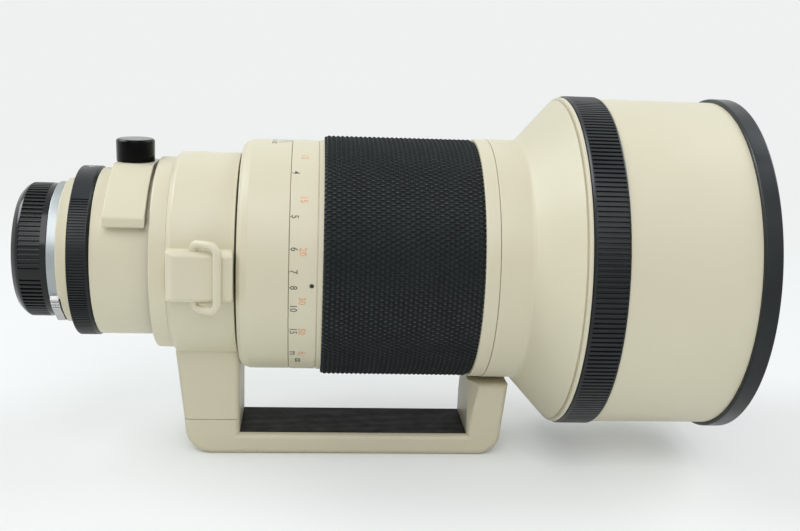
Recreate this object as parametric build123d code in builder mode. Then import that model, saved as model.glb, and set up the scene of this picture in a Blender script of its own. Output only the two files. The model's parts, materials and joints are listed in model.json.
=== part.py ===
from build123d import *
from math import cos, pi, radians, sin, sqrt
import os

os.makedirs("parts", exist_ok=True)

# Telephoto lens on its tripod collar, in millimetres.
# The optical axis is X, the mount flange lies in the plane X = 0 and +X points to the front.
# Angles round the axis run from +Y towards +Z. Seen from the camera end, +Y is on the left,
# so the right side of the lens, the one with the near strap lug, is at 180.

# Clearances
run_gap = 0.05
slide_gap = 0.1
end_gap = 0.15
seat_gap = 0.3
cement = 0.05
collar_end_gap = 0.2
barrel_gap = 0.9

# Lengths along the axis, from back to front
cap_length = 14.4
flange_length = 3.7
rear_ring_length = 4.9
aperture_length = 9.4
rear_barrel_length = 23.0
retainer_length = 6.5
collar_length = 27.2
shoulder_length = 3.8
index_length = 16.15
scale_length = 12.25
grip_length = 62.6
focus_band = 6.2
front_band = 13.2
cone_length = 16.0
lip_length = 2.2
lock_length = 13.7
hood_length = 50.9
rim_length = 7.2
tube_length = 59.8

# Stations along the axis
cap_back = -cap_length
flange_front = flange_length
rear_ring_front = flange_front + rear_ring_length
aperture_front = rear_ring_front + aperture_length
rear_barrel_front = aperture_front + rear_barrel_length
retainer_front = rear_barrel_front + retainer_length
collar_back = retainer_front + collar_end_gap
collar_front = collar_back + collar_length
barrel_back = collar_front + barrel_gap
barrel_full = barrel_back + shoulder_length
scale_back = barrel_full + index_length
grip_back = scale_back + scale_length
grip_front = grip_back + grip_length
focus_front = grip_front + focus_band
cone_back = focus_front + front_band
cone_front = cone_back + cone_length
lip_front = cone_front + lip_length
hood_back = lip_front + collar_end_gap
lock_front = lip_front + lock_length
tube_front = lip_front + tube_length
rim_back = lock_front + hood_length
lens_front = rim_back + rim_length

# Filter, which sets the bores and radii of the rear barrel, the bearing and the collar
filter_r = 23.0
filter_clear_r = filter_r - 3.5
filter_glass_r = filter_r - 2.0
plate_half = filter_r + 3.5
rear_bore = plate_half + 4.5
cell_bore = rear_bore + 2.0
aperture_seat_r = rear_bore + 2.0
aperture_wall = 2.3
aperture_r = aperture_seat_r + aperture_wall
rear_barrel_r = aperture_seat_r + 1.7
bearing_wall = 5.4
bearing_r = cell_bore + bearing_wall
retainer_r = bearing_r + 1.8
collar_wall = 3.9
collar_r = bearing_r + collar_wall

# Radii of the main barrel and the focusing ring
barrel_r = 48.3
focus_seat_r = barrel_r - 3.35
barrel_wall = 2.05
focus_bore = focus_seat_r - barrel_wall
scale_r = barrel_r + 0.1
grip_seat_r = scale_r - 0.4
grip_thick = 2.2
grip_r = grip_seat_r + grip_thick
band_r = grip_r + 0.6
front_r = band_r + 0.2

# Radii of the front barrel and the hood
cone_r = 68.5
lip_r = cone_r + 1.0
tube_r = cone_r - 2.1
tube_wall = 1.8
tube_bore = tube_r - tube_wall
hood_bore = tube_r + 1.0
hood_wall = 2.0
hood_r = hood_bore + hood_wall
lock_seat_r = hood_r - 1.1
lock_r = hood_r + 0.8
rim_r = hood_r + 1.6

# Bayonet and mount
throat_r = 19.5
bayonet_r = 22.0
bayonet_tab_r = 23.8
bayonet_depth = 5.2
bayonet_tab = 1.8
bayonet_count = 3
bayonet_arc = 52.0
flange_r = 28.5
rear_ring_r = flange_r + 1.5
rear_ring_bore = 22.5
rear_seat_bore = rear_ring_bore + 1.5

# Screws that hold the mount ring and the rear ring to the rear barrel
mount_screw_r = 1.0
mount_screw_head_r = 2.0
mount_screw_head = 1.4
mount_screw_sink = 0.1
mount_screw_at = (bayonet_r + flange_r) / 2 + 0.75
mount_screw_end = rear_ring_front + 1.8
mount_screw_angles = (0, 90, 180, 270)

# Rear cap
cap_r = flange_r - 0.7
cap_wall = 1.8
cap_bore = bayonet_tab_r + 1.2
cap_groups = 5
cap_grooves = 8
cap_pitch = 4.9
cap_start = 140.0
cap_groove = 1.0
cap_groove_length = cap_length - 5.8

# Push buttons in the mount ring
button_angles = {"preview_button": 225.0, "release_button": 315.0}
button_back = 0.6
button_front = flange_front + 1.2
button_arc = 16.6
button_top = rear_ring_r + 0.4
button_floor = button_top - 5.8
button_travel = 1.5
button_stem = 3.8
button_stem_r = 1.1
button_ribs = 5

# Aperture ring ribs, with a plain arc at the top for its numbers
aperture_ribs = 72
aperture_rib_depth = 0.45
aperture_plain_from = 24.0
aperture_plain_to = 140.0
aperture_chamfer = 1.2

# Filter drawer
drawer_back = aperture_front + 5.3
drawer_front = drawer_back + 16.4
plate_back = drawer_back + 3.7
plate_thick = 9.0
plate_front = plate_back + plate_thick
saddle_top = rear_barrel_r + 3.3
saddle_flat = 9.0
saddle_turn = 55.2
saddle_half = rear_barrel_r + 0.8
saddle_fold = 20.6
saddle_bottom = 16.4
slot_bottom = saddle_bottom - 2.0
knob_x = drawer_back + 7.6
knob_r = 7.65
knob_height = 8.8
knob_chamfer = 1.0
knob_stem_r = 2.5
knob_stem = 9.0

# Grub screw that ties the scale band to the focusing ring
scale_screw_x = grip_back - 3.8
scale_screw_r = 0.85
scale_screw_length = 2.4
scale_screw_angle = 182.0

# Iris
iris_front = rear_barrel_front + 9.0
iris_open_r = 18.5
iris_plate = 1.6
blade_count = 9
blade_thick = 0.2
blade_step = 0.35
blade_in_r = iris_open_r + 0.4
blade_out_r = rear_bore - 6.0
blade_pivot_r = rear_bore - 2.8
blade_pin_r = 0.9
blade_pin_back = 0.2
blade_ear_r = 2.0
blade_arc = 66.0
blade_first = 290.0
cam_ring_back = iris_front - 2.8
cam_ring = 1.6
lever_angle = 262.0
lever_swing = 16.0
lever_rod_r = 1.0
lever_r = rear_bore - 1.1 - lever_rod_r
lever_tab_r = throat_r - 0.8
lever_tab = 1.4
lever_tab_width = 4.0
lever_web = rear_ring_front + 3.4
lever_back = -4.0

# Rear lens cell
rear_lens_r = 24.0
rear_cell_lip = iris_front + 2.0
rear_cell_step = rear_cell_lip + 9.0
rear_cell_front = rear_cell_step + 9.0
cell_land = 2.5
shoulder = 3.0

# Spigot of the collar's bearing in the main barrel
spigot = 8.0
spigot_web = 2.0
web_slope = 6.0

# Focusing group
cell_back = grip_back + 10.0
cell_front = cell_back + 24.0
cell_lip = 4.0
cell_gap = 0.1
focus_lens_r = focus_bore - 5.9
pin_x = cell_back + 12.0
pin_r = 1.9
pin_top = focus_seat_r + 1.35
pin_bite = 2.3
groove_r = pin_top + seat_gap
groove_relief = 0.25
cam_lead = 8.0
cam_min = -9.0
cam_max = 135.0
cam_margin = 3.0
pin_angles = (90, 270)

# Middle and front groups
mid_back = focus_front + 6.2
mid_front = mid_back + 12.5
mid_lens_r = focus_bore + 4.6
cone_wall = 4.4
lens_1_r = tube_bore - 2.1
lens_2_r = lens_1_r - 1.5
lens_3_r = lens_2_r - 1.0
seat_1 = tube_front - 16.0
lens_1_gap = 2.2133
lens_gap = 2.0
front_flange_r = hood_bore - seat_gap
front_flange = 1.8
lens_1_front = seat_1 + 6.0
lens_1_radius = 230.0
lens_1_back_radius = 900.0
lens_2_edge = 6.5
lens_2_radius = 300.0
lens_3_centre = 2.9388
lens_3_radius = -300.0
lens_4_centre = 2.446
lens_4_radius = -250.0
lens_5_edge = 2.95
lens_6_centre = 2.3096
lens_6_back_radius = -120.0
lens_6_radius = -180.0
lens_7_edge = 1.95
lens_8_edge = 3.0
lens_8_radius = 80.0
lens_9_edge = 4.0
lens_9_radius = 100.0
ring_length = 6.5
ring_width = 2.3
ring_edge = 0.8

# Collar
collar_edge = 1.2
lock_angle = -40.0
lock_x = collar_back + 13.3
lock_boss_r = 8.0
lock_boss_top = collar_r + 3.2
lock_stem_r = 3.0
lock_knob_r = 9.0
lock_knob_length = 13.0
lock_scallops = 6

# Strap lugs and loops
lug_back = collar_back + 0.7
lug_front = collar_front - 1.1
lug_half = 10.5
lug_seat = collar_r + 1.7
lug_thick = 6.2
lug_face = lug_seat + lug_thick
lug_bevel = 2.0
wire_r = 1.4
loop_x = lug_back + 10.9
loop_y = lug_seat + 2.5
loop_half = lug_half + wire_r + 1.2
loop_reach = 10.4
loop_lean = 31.0
loop_stub = lug_half - 3.5
loop_pivot_bend = 2.0
loop_corner = 3.4

# Foot
post_half = 17.0
post_top_back = collar_back + 0.6
post_back = collar_back + 3.9
post_front = collar_front
foot_seam = -collar_r - 23.6
bar_top = foot_seam - 10.3
bar_thick = 8.0
foot_bottom = bar_top - bar_thick
front_post_back = focus_front - 4.8
front_post_top_back = front_post_back + 3.0
front_post_top = front_post_back + 16.3
front_post_low = front_post_top - 3.4
front_post_z = -front_r - 0.7
foot_corner = 11.0
foot_edge = 1.4
pad_back = post_front + 0.7
pad_front = front_post_back - 0.6
pad_middle = (pad_back + pad_front) / 2
pad_half = post_half - 2.4
pad_recess = 1.0
pad_proud = 1.0
pad_ribs = 13
pad_rib_depth = 0.7
tripod_large_r = 4.7625
tripod_small_r = 3.175
tripod_depth = 6.0
tripod_large_x = pad_middle + 16.5
tripod_small_x = pad_middle - 11.5
screw_r = 2.0
screw_head_r = 3.5
screw_head = 4.0
screw_recess = 1.0
screw_top = foot_seam + 17.9
screw_x = collar_back + 15.3
screw_y = 9.0

# Hood
hood_land = 6.0
hood_ribs = 120
hood_rib_depth = 0.75
rim_edge = 0.7


def profile(*points):
    """Closed outline of straight lines in the XY plane, for turning about X."""
    with BuildSketch(Plane.XY) as outline:
        with BuildLine():
            Polyline(*points, close=True)
        make_face()
    return outline.sketch


def sag(radius, half):
    """How far a spherical face bulges at this half width; a negative radius is hollow."""
    depth = abs(radius) - sqrt(radius * radius - half * half)
    return depth if radius > 0 else -depth


def element(back, front, half, back_radius=0, front_radius=0):
    """Lens section between two edge stations; a face with no radius is flat."""
    back_top = back - sag(back_radius, half) if back_radius else back
    front_top = front + sag(front_radius, half) if front_radius else front
    with BuildSketch(Plane.XY) as outline:
        with BuildLine():
            if back_radius:
                back_mid = back_top + sag(back_radius, half / 2)
                ThreePointArc((back_top, 0), (back_mid, half / 2), (back, half))
            else:
                Line((back, 0), (back, half))
            Line((back, half), (front, half))
            if front_radius:
                front_mid = front_top - sag(front_radius, half / 2)
                ThreePointArc((front, half), (front_mid, half / 2), (front_top, 0))
            else:
                Line((front, half), (front, 0))
            Line((front_top, 0), (back_top, 0))
        make_face()
    return outline.sketch


def around(angle, radius=0.0):
    """Plane at this radius whose Z points out from the axis and whose X runs along it."""
    out = Vector(0, cos(radians(angle)), sin(radians(angle)))
    return Plane(origin=out * radius, x_dir=(1, 0, 0), z_dir=out)


def across(station):
    """Plane square to the axis: its X is +Y, its Y is +Z."""
    return Plane(origin=(station, 0, 0), x_dir=(0, 1, 0), z_dir=(1, 0, 0))


def turned(station, angle):
    """Plane square to the axis whose X points at this angle round it."""
    return Plane(origin=(station, 0, 0), x_dir=around(angle).z_dir, z_dir=(1, 0, 0))


def band(plane, inner, outer, start, sweep):
    """Part of a ring between two angles."""
    with BuildSketch(plane) as piece:
        with BuildLine():
            outside = CenterArc((0, 0), outer, start, sweep)
            inside = CenterArc((0, 0), inner, start, sweep)
            Line(outside @ 0, inside @ 0)
            Line(outside @ 1, inside @ 1)
        make_face()
    return piece.sketch


def ribbed(plane, bore, outer, depth, count, plain_from=0, plain_to=0):
    """Ring whose outside is a row of ribs, apart from a plain arc between two angles."""
    points = []
    for step in range(2 * count):
        angle = 180.0 * step / count
        plain = plain_from < angle < plain_to
        radius = outer if plain or step % 2 == 0 else outer - depth
        points.append((radius * cos(radians(angle)), radius * sin(radians(angle))))
    with BuildSketch(plane) as ring:
        with BuildLine():
            Polyline(*points, close=True)
        make_face()
        Circle(bore, mode=Mode.SUBTRACT)
    return ring.sketch


def cut_button_notches():
    """Notches for both buttons, with the guide hole for each stem."""
    width = button_front - button_back + 2 * slide_gap
    middle = (button_front + button_back) / 2
    for angle in button_angles.values():
        with Locations(around(angle, button_floor)):
            with Locations((middle, 0, flange_r / 2)):
                Box(width, button_arc + 2 * slide_gap, flange_r, mode=Mode.SUBTRACT)
            with Locations((flange_front / 2, 0, 0)):
                Cylinder(button_stem_r + run_gap, 2 * button_stem + 4, mode=Mode.SUBTRACT)


def screw_circles(station, radius):
    """Circles round the axis at the places of the mount screws."""
    with BuildSketch(across(station)) as circles:
        with Locations(*[place(angle, mount_screw_at) for angle in mount_screw_angles]):
            Circle(radius)
    return circles.sketch


def place(angle, radius):
    """Point of a plane square to the axis."""
    return (radius * cos(radians(angle)), radius * sin(radians(angle)))


def save(part, name):
    part.label = name
    export_step(part, f"parts/{name}.step")


# Rear cap, with grooves in groups round its side
with BuildPart() as rear_cap:
    revolve(
        profile(
            (cap_back, 0),
            (cap_back, cap_r - 2.2),
            (cap_back + 1.2, cap_r),
            (-end_gap, cap_r),
            (-end_gap, cap_bore),
            (cap_back + cap_wall, cap_bore),
            (cap_back + cap_wall, 0),
        ),
        axis=Axis.X,
    )
    cap_angles = []
    for group in range(cap_groups):
        for groove in range(cap_grooves):
            cap_angles.append(cap_start + group * 360 / cap_groups + groove * cap_pitch)
    with Locations(*[around(angle, cap_r) for angle in cap_angles]):
        with Locations((cap_back / 2, 0, 0)):
            Box(cap_groove_length, cap_groove, cap_groove, mode=Mode.SUBTRACT)
save(rear_cap.part, "rear_cap")

# Mount ring, with its bayonet tabs behind the flange
with BuildPart() as mount_flange:
    revolve(
        profile(
            (-bayonet_depth, throat_r),
            (-bayonet_depth, bayonet_r),
            (0, bayonet_r),
            (0, flange_r),
            (flange_front, flange_r),
            (flange_front, throat_r),
        ),
        axis=Axis.X,
    )
    for tab in range(bayonet_count):
        start = 360 / bayonet_count * tab - bayonet_arc / 2
        tab_sketch = band(across(-bayonet_depth), bayonet_r - 0.5, bayonet_tab_r, start, bayonet_arc)
        extrude(tab_sketch, amount=bayonet_tab)
    cut_button_notches()
    extrude(screw_circles(0, mount_screw_r + run_gap), amount=flange_front, mode=Mode.SUBTRACT)
    head_hole = screw_circles(0, mount_screw_head_r + run_gap)
    extrude(head_hole, amount=mount_screw_sink + mount_screw_head, mode=Mode.SUBTRACT)
save(mount_flange.part, "mount_flange")

# Ring between the mount and the aperture ring
with BuildPart() as rear_ring:
    revolve(
        profile(
            (flange_front, rear_ring_bore),
            (flange_front, rear_ring_r),
            (rear_ring_front, rear_ring_r),
            (rear_ring_front, rear_ring_bore),
        ),
        axis=Axis.X,
    )
    cut_button_notches()
    screw_hole = screw_circles(flange_front, mount_screw_r + run_gap)
    extrude(screw_hole, amount=rear_ring_front - flange_front, mode=Mode.SUBTRACT)
save(rear_ring.part, "rear_ring")

# Screws of the mount, flush in its face
with BuildPart() as mount_screws:
    extrude(screw_circles(mount_screw_sink, mount_screw_head_r), amount=mount_screw_head)
    shank = screw_circles(mount_screw_sink, mount_screw_r)
    extrude(shank, amount=mount_screw_end - mount_screw_sink)
save(mount_screws.part, "mount_screws")

# Two sprung buttons: a ribbed pad on a guided stem
for button_name, button_angle in button_angles.items():
    pad_floor = button_floor + button_travel + end_gap
    pad_width = button_front - button_back
    button_middle = (button_front + button_back) / 2
    with BuildPart() as button:
        with BuildSketch(around(button_angle, pad_floor)):
            with Locations((button_middle, 0)):
                Rectangle(pad_width, button_arc)
        extrude(amount=button_top - pad_floor)
        with Locations(around(button_angle, button_top)):
            with Locations((button_middle, 0, 0)):
                with GridLocations(1, button_arc / (button_ribs + 1), 1, button_ribs):
                    Box(pad_width + 1, 0.9, 1.0, mode=Mode.SUBTRACT)
        with BuildSketch(around(button_angle, button_floor - button_stem)):
            with Locations((flange_front / 2, 0)):
                Circle(button_stem_r)
        extrude(amount=button_stem + pad_floor - button_floor)
    save(button.part, button_name)

# Aperture ring, ribbed all round but for the arc that carries its numbers
with BuildPart() as aperture_ring:
    aperture_bore = aperture_seat_r + run_gap
    aperture_back = rear_ring_front + end_gap
    aperture_end = aperture_front - end_gap
    rib_back = aperture_back + 0.8
    rib_front = aperture_end - aperture_chamfer - 0.4
    rim_floor = aperture_r - aperture_rib_depth
    revolve(
        profile(
            (aperture_back, aperture_bore),
            (aperture_back, aperture_r),
            (rib_back, aperture_r),
            (rib_back, rim_floor),
            (rib_front, rim_floor),
            (rib_front, aperture_r),
            (aperture_end - aperture_chamfer, aperture_r),
            (aperture_end, aperture_r - aperture_chamfer),
            (aperture_end, aperture_bore),
        ),
        axis=Axis.X,
    )
    plain = (aperture_plain_from, aperture_plain_to)
    extrude(
        ribbed(across(rib_back), rim_floor - 0.5, aperture_r, aperture_rib_depth, aperture_ribs, *plain),
        amount=rib_front - rib_back,
    )
save(aperture_ring.part, "aperture_ring")

# Rear barrel: seat of the aperture ring, slot of the filter drawer
with BuildPart() as rear_barrel:
    revolve(
        profile(
            (rear_ring_front, rear_seat_bore),
            (rear_ring_front, aperture_seat_r),
            (aperture_front, aperture_seat_r),
            (aperture_front, rear_barrel_r),
            (rear_barrel_front, rear_barrel_r),
            (rear_barrel_front, rear_bore),
            (rear_ring_front + 2, rear_bore),
            (rear_ring_front + 2, rear_seat_bore),
        ),
        axis=Axis.X,
    )
    slot_length = plate_front - plate_back + 4 * slide_gap
    with Locations(((plate_back + plate_front) / 2, 0, slot_bottom + rear_barrel_r / 2)):
        Box(slot_length, 2 * plate_half + 4 * slide_gap, rear_barrel_r, mode=Mode.SUBTRACT)
    extrude(screw_circles(rear_ring_front, mount_screw_r + cement), amount=2, mode=Mode.SUBTRACT)
save(rear_barrel.part, "rear_barrel")

# Filter drawer: a roofed saddle on the barrel, with the plate that carries the filter
with BuildPart() as filter_drawer:
    with BuildSketch(across(drawer_back)):
        with BuildLine():
            Line((-saddle_half, saddle_bottom), (-saddle_half, saddle_fold))
            left_mid = place(180 - saddle_turn, saddle_top)
            ThreePointArc((-saddle_half, saddle_fold), left_mid, (-saddle_flat, saddle_top))
            Line((-saddle_flat, saddle_top), (saddle_flat, saddle_top))
            right_mid = place(saddle_turn, saddle_top)
            ThreePointArc((saddle_flat, saddle_top), right_mid, (saddle_half, saddle_fold))
            Line((saddle_half, saddle_fold), (saddle_half, saddle_bottom))
            Line((saddle_half, saddle_bottom), (-saddle_half, saddle_bottom))
        make_face()
        Circle(rear_barrel_r + seat_gap, mode=Mode.SUBTRACT)
    extrude(amount=drawer_front - drawer_back)
    with BuildSketch(across(plate_back)):
        Circle(plate_half)
        with Locations((0, plate_half / 2)):
            Rectangle(2 * plate_half, plate_half)
        Circle(saddle_top - seat_gap, mode=Mode.INTERSECT)
    extrude(amount=plate_front - plate_back)
    with BuildSketch(across(plate_back)):
        Circle(filter_r)
    extrude(amount=plate_front - plate_back - 2, mode=Mode.SUBTRACT)
    with BuildSketch(across(plate_back)):
        Circle(filter_clear_r + 1.5)
    extrude(amount=plate_front - plate_back, mode=Mode.SUBTRACT)
    with Locations((knob_x, 0, saddle_top)):
        Cylinder(knob_stem_r + run_gap, 2 * knob_stem + 1, mode=Mode.SUBTRACT)
save(filter_drawer.part, "filter_drawer")

# Filter ring that screws into the drawer's plate
with BuildPart() as filter_ring:
    revolve(
        profile(
            (plate_back + 1, filter_glass_r),
            (plate_back + 1, filter_r - cement),
            (plate_front - 2, filter_r - cement),
            (plate_front - 2, filter_clear_r),
            (plate_front - 3, filter_clear_r),
            (plate_front - 3, filter_glass_r),
        ),
        axis=Axis.X,
    )
save(filter_ring.part, "filter_ring")

# Filter glass
with BuildPart() as filter_glass:
    with BuildSketch(across(plate_front - 5)):
        Circle(filter_glass_r - cement)
    extrude(amount=2)
save(filter_glass.part, "filter_glass")

# Knob that locks the filter drawer
with BuildPart() as filter_knob:
    with BuildSketch(Plane.XY.offset(saddle_top + end_gap)):
        with Locations((knob_x, 0)):
            Circle(knob_r)
    extrude(amount=knob_height)
    chamfer(filter_knob.faces().sort_by(Axis.Z)[-1].edges(), knob_chamfer)
    with BuildSketch(Plane.XY.offset(saddle_top - knob_stem)):
        with Locations((knob_x, 0)):
            Circle(knob_stem_r)
    extrude(amount=knob_stem + end_gap)
save(filter_knob.part, "filter_knob")

# Iris housing: a cup with the blade pivot holes and the lever's slot in its floor
blade_angles = [blade_first + 360 / blade_count * blade for blade in range(blade_count)]
with BuildPart() as iris_housing:
    iris_r = cell_bore - cement
    revolve(
        profile(
            (rear_barrel_front, iris_open_r),
            (rear_barrel_front, iris_r),
            (iris_front, iris_r),
            (iris_front, rear_bore),
            (rear_barrel_front + iris_plate, rear_bore),
            (rear_barrel_front + iris_plate, iris_open_r),
        ),
        axis=Axis.X,
    )
    with BuildSketch(across(rear_barrel_front)):
        with Locations(*[place(angle, blade_pivot_r) for angle in blade_angles]):
            Circle(blade_pin_r + run_gap)
    extrude(amount=iris_plate, mode=Mode.SUBTRACT)
    lever_slot = band(
        across(rear_barrel_front),
        lever_r - lever_rod_r - 0.5,
        lever_r + lever_rod_r + 0.5,
        lever_angle - 4,
        lever_swing + 8,
    )
    extrude(lever_slot, amount=iris_plate, mode=Mode.SUBTRACT)
save(iris_housing.part, "iris_housing")

# Iris blades, each in its own layer, turning on a pin in the housing's floor
for blade, angle in enumerate(blade_angles):
    layer = rear_barrel_front + iris_plate + end_gap + blade * blade_step
    with BuildPart() as iris_blade:
        with BuildSketch(across(layer)):
            add(band(Plane.XY, blade_in_r, blade_out_r, angle, blade_arc))
            with Locations(Location(place(angle, blade_out_r + blade_ear_r - 0.8), angle)):
                Trapezoid(4 * blade_ear_r, 2 * blade_ear_r, 70, rotation=-90)
        extrude(amount=blade_thick)
        with BuildSketch(across(rear_barrel_front + blade_pin_back)):
            with Locations(place(angle, blade_pivot_r)):
                Circle(blade_pin_r)
        extrude(amount=layer + blade_thick - rear_barrel_front - blade_pin_back)
    save(iris_blade.part, f"iris_blade_{blade + 1}")

# Ring that drives the iris blades
with BuildPart() as iris_cam_ring:
    with BuildSketch(across(cam_ring_back)):
        Circle(rear_bore - seat_gap)
        Circle(iris_open_r + 0.5, mode=Mode.SUBTRACT)
    extrude(amount=cam_ring)
save(iris_cam_ring.part, "iris_cam_ring")

# Stop-down lever: a rod from the driving ring back to a tab in the mount's throat
with BuildPart() as stop_down_lever:
    with BuildSketch(across(lever_web)):
        with Locations(place(lever_angle, lever_r)):
            Circle(lever_rod_r)
    extrude(amount=cam_ring_back - lever_web)
    web_reach = lever_r + lever_rod_r - lever_tab_r + lever_tab
    with Locations(around(lever_angle, lever_tab_r - lever_tab + web_reach / 2)):
        with Locations((lever_web + lever_tab / 2, 0, 0)):
            Box(lever_tab, lever_tab_width, web_reach)
    with Locations(around(lever_angle, lever_tab_r - lever_tab / 2)):
        with Locations(((lever_web + lever_back) / 2, 0, 0)):
            Box(lever_web - lever_back, lever_tab_width, lever_tab)
save(stop_down_lever.part, "stop_down_lever")

# Rear lens cell, against a shoulder of the bearing
with BuildPart() as rear_cell:
    revolve(
        profile(
            (iris_front, rear_lens_r - cell_land),
            (iris_front, cell_bore - cement),
            (rear_cell_front, cell_bore - cement),
            (rear_cell_front, rear_lens_r + 1 + cement),
            (rear_cell_step, rear_lens_r + 1 + cement),
            (rear_cell_step, rear_lens_r + cement),
            (rear_cell_lip, rear_lens_r + cement),
            (rear_cell_lip, rear_lens_r - cell_land),
        ),
        axis=Axis.X,
    )
save(rear_cell.part, "rear_cell")

# Ring that keeps the collar on its bearing
with BuildPart() as collar_retainer:
    revolve(
        profile(
            (rear_barrel_front, bearing_r + cement),
            (rear_barrel_front, retainer_r - 0.6),
            (rear_barrel_front + 0.6, retainer_r),
            (retainer_front, retainer_r),
            (retainer_front, bearing_r + cement),
        ),
        axis=Axis.X,
    )
save(collar_retainer.part, "collar_retainer")

# Bearing that the collar turns on, with a shoulder for the rear cell and a spigot in front
with BuildPart() as collar_bearing:
    revolve(
        profile(
            (rear_barrel_front, cell_bore),
            (rear_barrel_front, bearing_r),
            (barrel_back + spigot, bearing_r),
            (barrel_back + spigot, cell_bore),
            (rear_cell_front + 2, cell_bore),
            (rear_cell_front + 2, cell_bore - shoulder),
            (rear_cell_front, cell_bore - shoulder),
            (rear_cell_front, cell_bore),
        ),
        axis=Axis.X,
    )
save(collar_bearing.part, "collar_bearing")

# Main barrel: socket of the spigot, index band and seat of the focusing ring
with BuildPart() as main_barrel:
    revolve(
        profile(
            (barrel_back, bearing_r + cement),
            (barrel_back, barrel_r - 1.9),
            (barrel_back + 1.2, barrel_r - 0.6),
            (barrel_full, barrel_r),
            (scale_back - end_gap, barrel_r),
            (scale_back - end_gap, focus_seat_r),
            (focus_front, focus_seat_r),
            (focus_front, focus_bore),
            (barrel_back + spigot + spigot_web + web_slope, focus_bore),
            (barrel_back + spigot + spigot_web, cell_bore),
            (barrel_back + spigot, cell_bore),
            (barrel_back + spigot, bearing_r + cement),
        ),
        axis=Axis.X,
    )
    key_back = pin_x + cam_lead * radians(cam_min)
    key_front = pin_x + cam_lead * radians(cam_max)
    for key_angle in pin_angles:
        with BuildSketch(around(key_angle, focus_bore - 1)):
            with Locations(((key_back + key_front) / 2, 0)):
                SlotCenterToCenter(key_front - key_back, 2 * (pin_r + run_gap))
        extrude(amount=focus_seat_r - focus_bore + 2, mode=Mode.SUBTRACT)
save(main_barrel.part, "main_barrel")

# Cutter for one cam groove: a helix as long as the ring turns, round its own Z
with BuildPart() as cam_groove:
    groove_turn = radians(cam_max - cam_min + 2 * cam_margin)
    groove_back = pin_x + cam_lead * radians(cam_min - cam_margin)
    with BuildLine():
        helix = Helix(2 * pi * cam_lead, cam_lead * groove_turn, focus_seat_r + groove_relief)
    with BuildSketch(Plane(origin=helix @ 0, x_dir=(1, 0, 0), z_dir=helix % 0)):
        Rectangle(2 * (groove_r - focus_seat_r - groove_relief), 2 * (pin_r + run_gap))
    sweep(path=helix, is_frenet=True)

# Focusing sleeve: scale band, seat of the rubber grip and two cam grooves inside
with BuildPart() as focus_sleeve:
    sleeve_bore = focus_seat_r + run_gap
    revolve(
        profile(
            (scale_back, sleeve_bore),
            (scale_back, scale_r),
            (grip_back, scale_r),
            (grip_back, grip_seat_r),
            (grip_front, grip_seat_r),
            (grip_front, band_r),
            (focus_front - end_gap, band_r),
            (focus_front - end_gap, sleeve_bore),
        ),
        axis=Axis.X,
    )
    for pin_angle in pin_angles:
        with Locations(turned(groove_back, pin_angle + cam_min - cam_margin)):
            add(cam_groove.part, mode=Mode.SUBTRACT)
    with BuildSketch(around(scale_screw_angle, scale_r - scale_screw_length)):
        with Locations((scale_screw_x, 0)):
            Circle(scale_screw_r + cement)
    extrude(amount=scale_screw_length + 1, mode=Mode.SUBTRACT)
save(focus_sleeve.part, "focus_sleeve")

# Grub screw in the scale band
with BuildPart() as scale_screw:
    with BuildSketch(around(scale_screw_angle, scale_r - scale_screw_length)):
        with Locations((scale_screw_x, 0)):
            Circle(scale_screw_r)
    extrude(amount=scale_screw_length - 0.1)
save(scale_screw.part, "scale_screw")

# Rubber grip
with BuildPart() as focus_grip:
    revolve(
        profile(
            (grip_back, grip_seat_r + cement),
            (grip_back, grip_r),
            (grip_front, grip_r),
            (grip_front, grip_seat_r + cement),
        ),
        axis=Axis.X,
    )
save(focus_grip.part, "focus_grip")

# Focusing cell, which slides in the main barrel
with BuildPart() as focus_cell:
    revolve(
        profile(
            (cell_back, focus_lens_r - cell_land),
            (cell_back, focus_bore - cell_gap),
            (cell_front, focus_bore - cell_gap),
            (cell_front, focus_lens_r + cement),
            (cell_back + cell_lip, focus_lens_r + cement),
            (cell_back + cell_lip, focus_lens_r - cell_land),
        ),
        axis=Axis.X,
    )
    with Locations(*[around(angle, focus_bore) for angle in pin_angles]):
        with Locations((pin_x, 0, 0)):
            Cylinder(pin_r + cement, 2 * pin_bite + 2 * seat_gap, mode=Mode.SUBTRACT)
save(focus_cell.part, "focus_cell")

# Pins that follow the cam grooves
with BuildPart() as cam_pins:
    for pin_angle in pin_angles:
        with BuildSketch(around(pin_angle, focus_bore - pin_bite)):
            with Locations((pin_x, 0)):
                Circle(pin_r)
        extrude(amount=pin_top - focus_bore + pin_bite)
save(cam_pins.part, "cam_pins")

# Front barrel: plain band, cone, lip and the tube that the hood slides on
mid_cone_r = front_r + (cone_r - front_r) * (mid_front - cone_back) / cone_length
with BuildPart() as front_barrel:
    revolve(
        profile(
            (focus_front, focus_bore),
            (focus_front, front_r),
            (cone_back, front_r),
            (cone_front, cone_r),
            (cone_front + 0.5, cone_r - 0.3),
            (cone_front + 0.8, lip_r),
            (lip_front, lip_r),
            (lip_front, tube_r),
            (tube_front, tube_r),
            (tube_front, tube_bore),
            (cone_front + 0.4, tube_bore),
            (mid_front, mid_cone_r - cone_wall),
            (mid_front, mid_lens_r + cement),
            (mid_back, mid_lens_r + cement),
            (mid_back, focus_bore),
        ),
        axis=Axis.X,
    )
save(front_barrel.part, "front_barrel")

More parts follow.
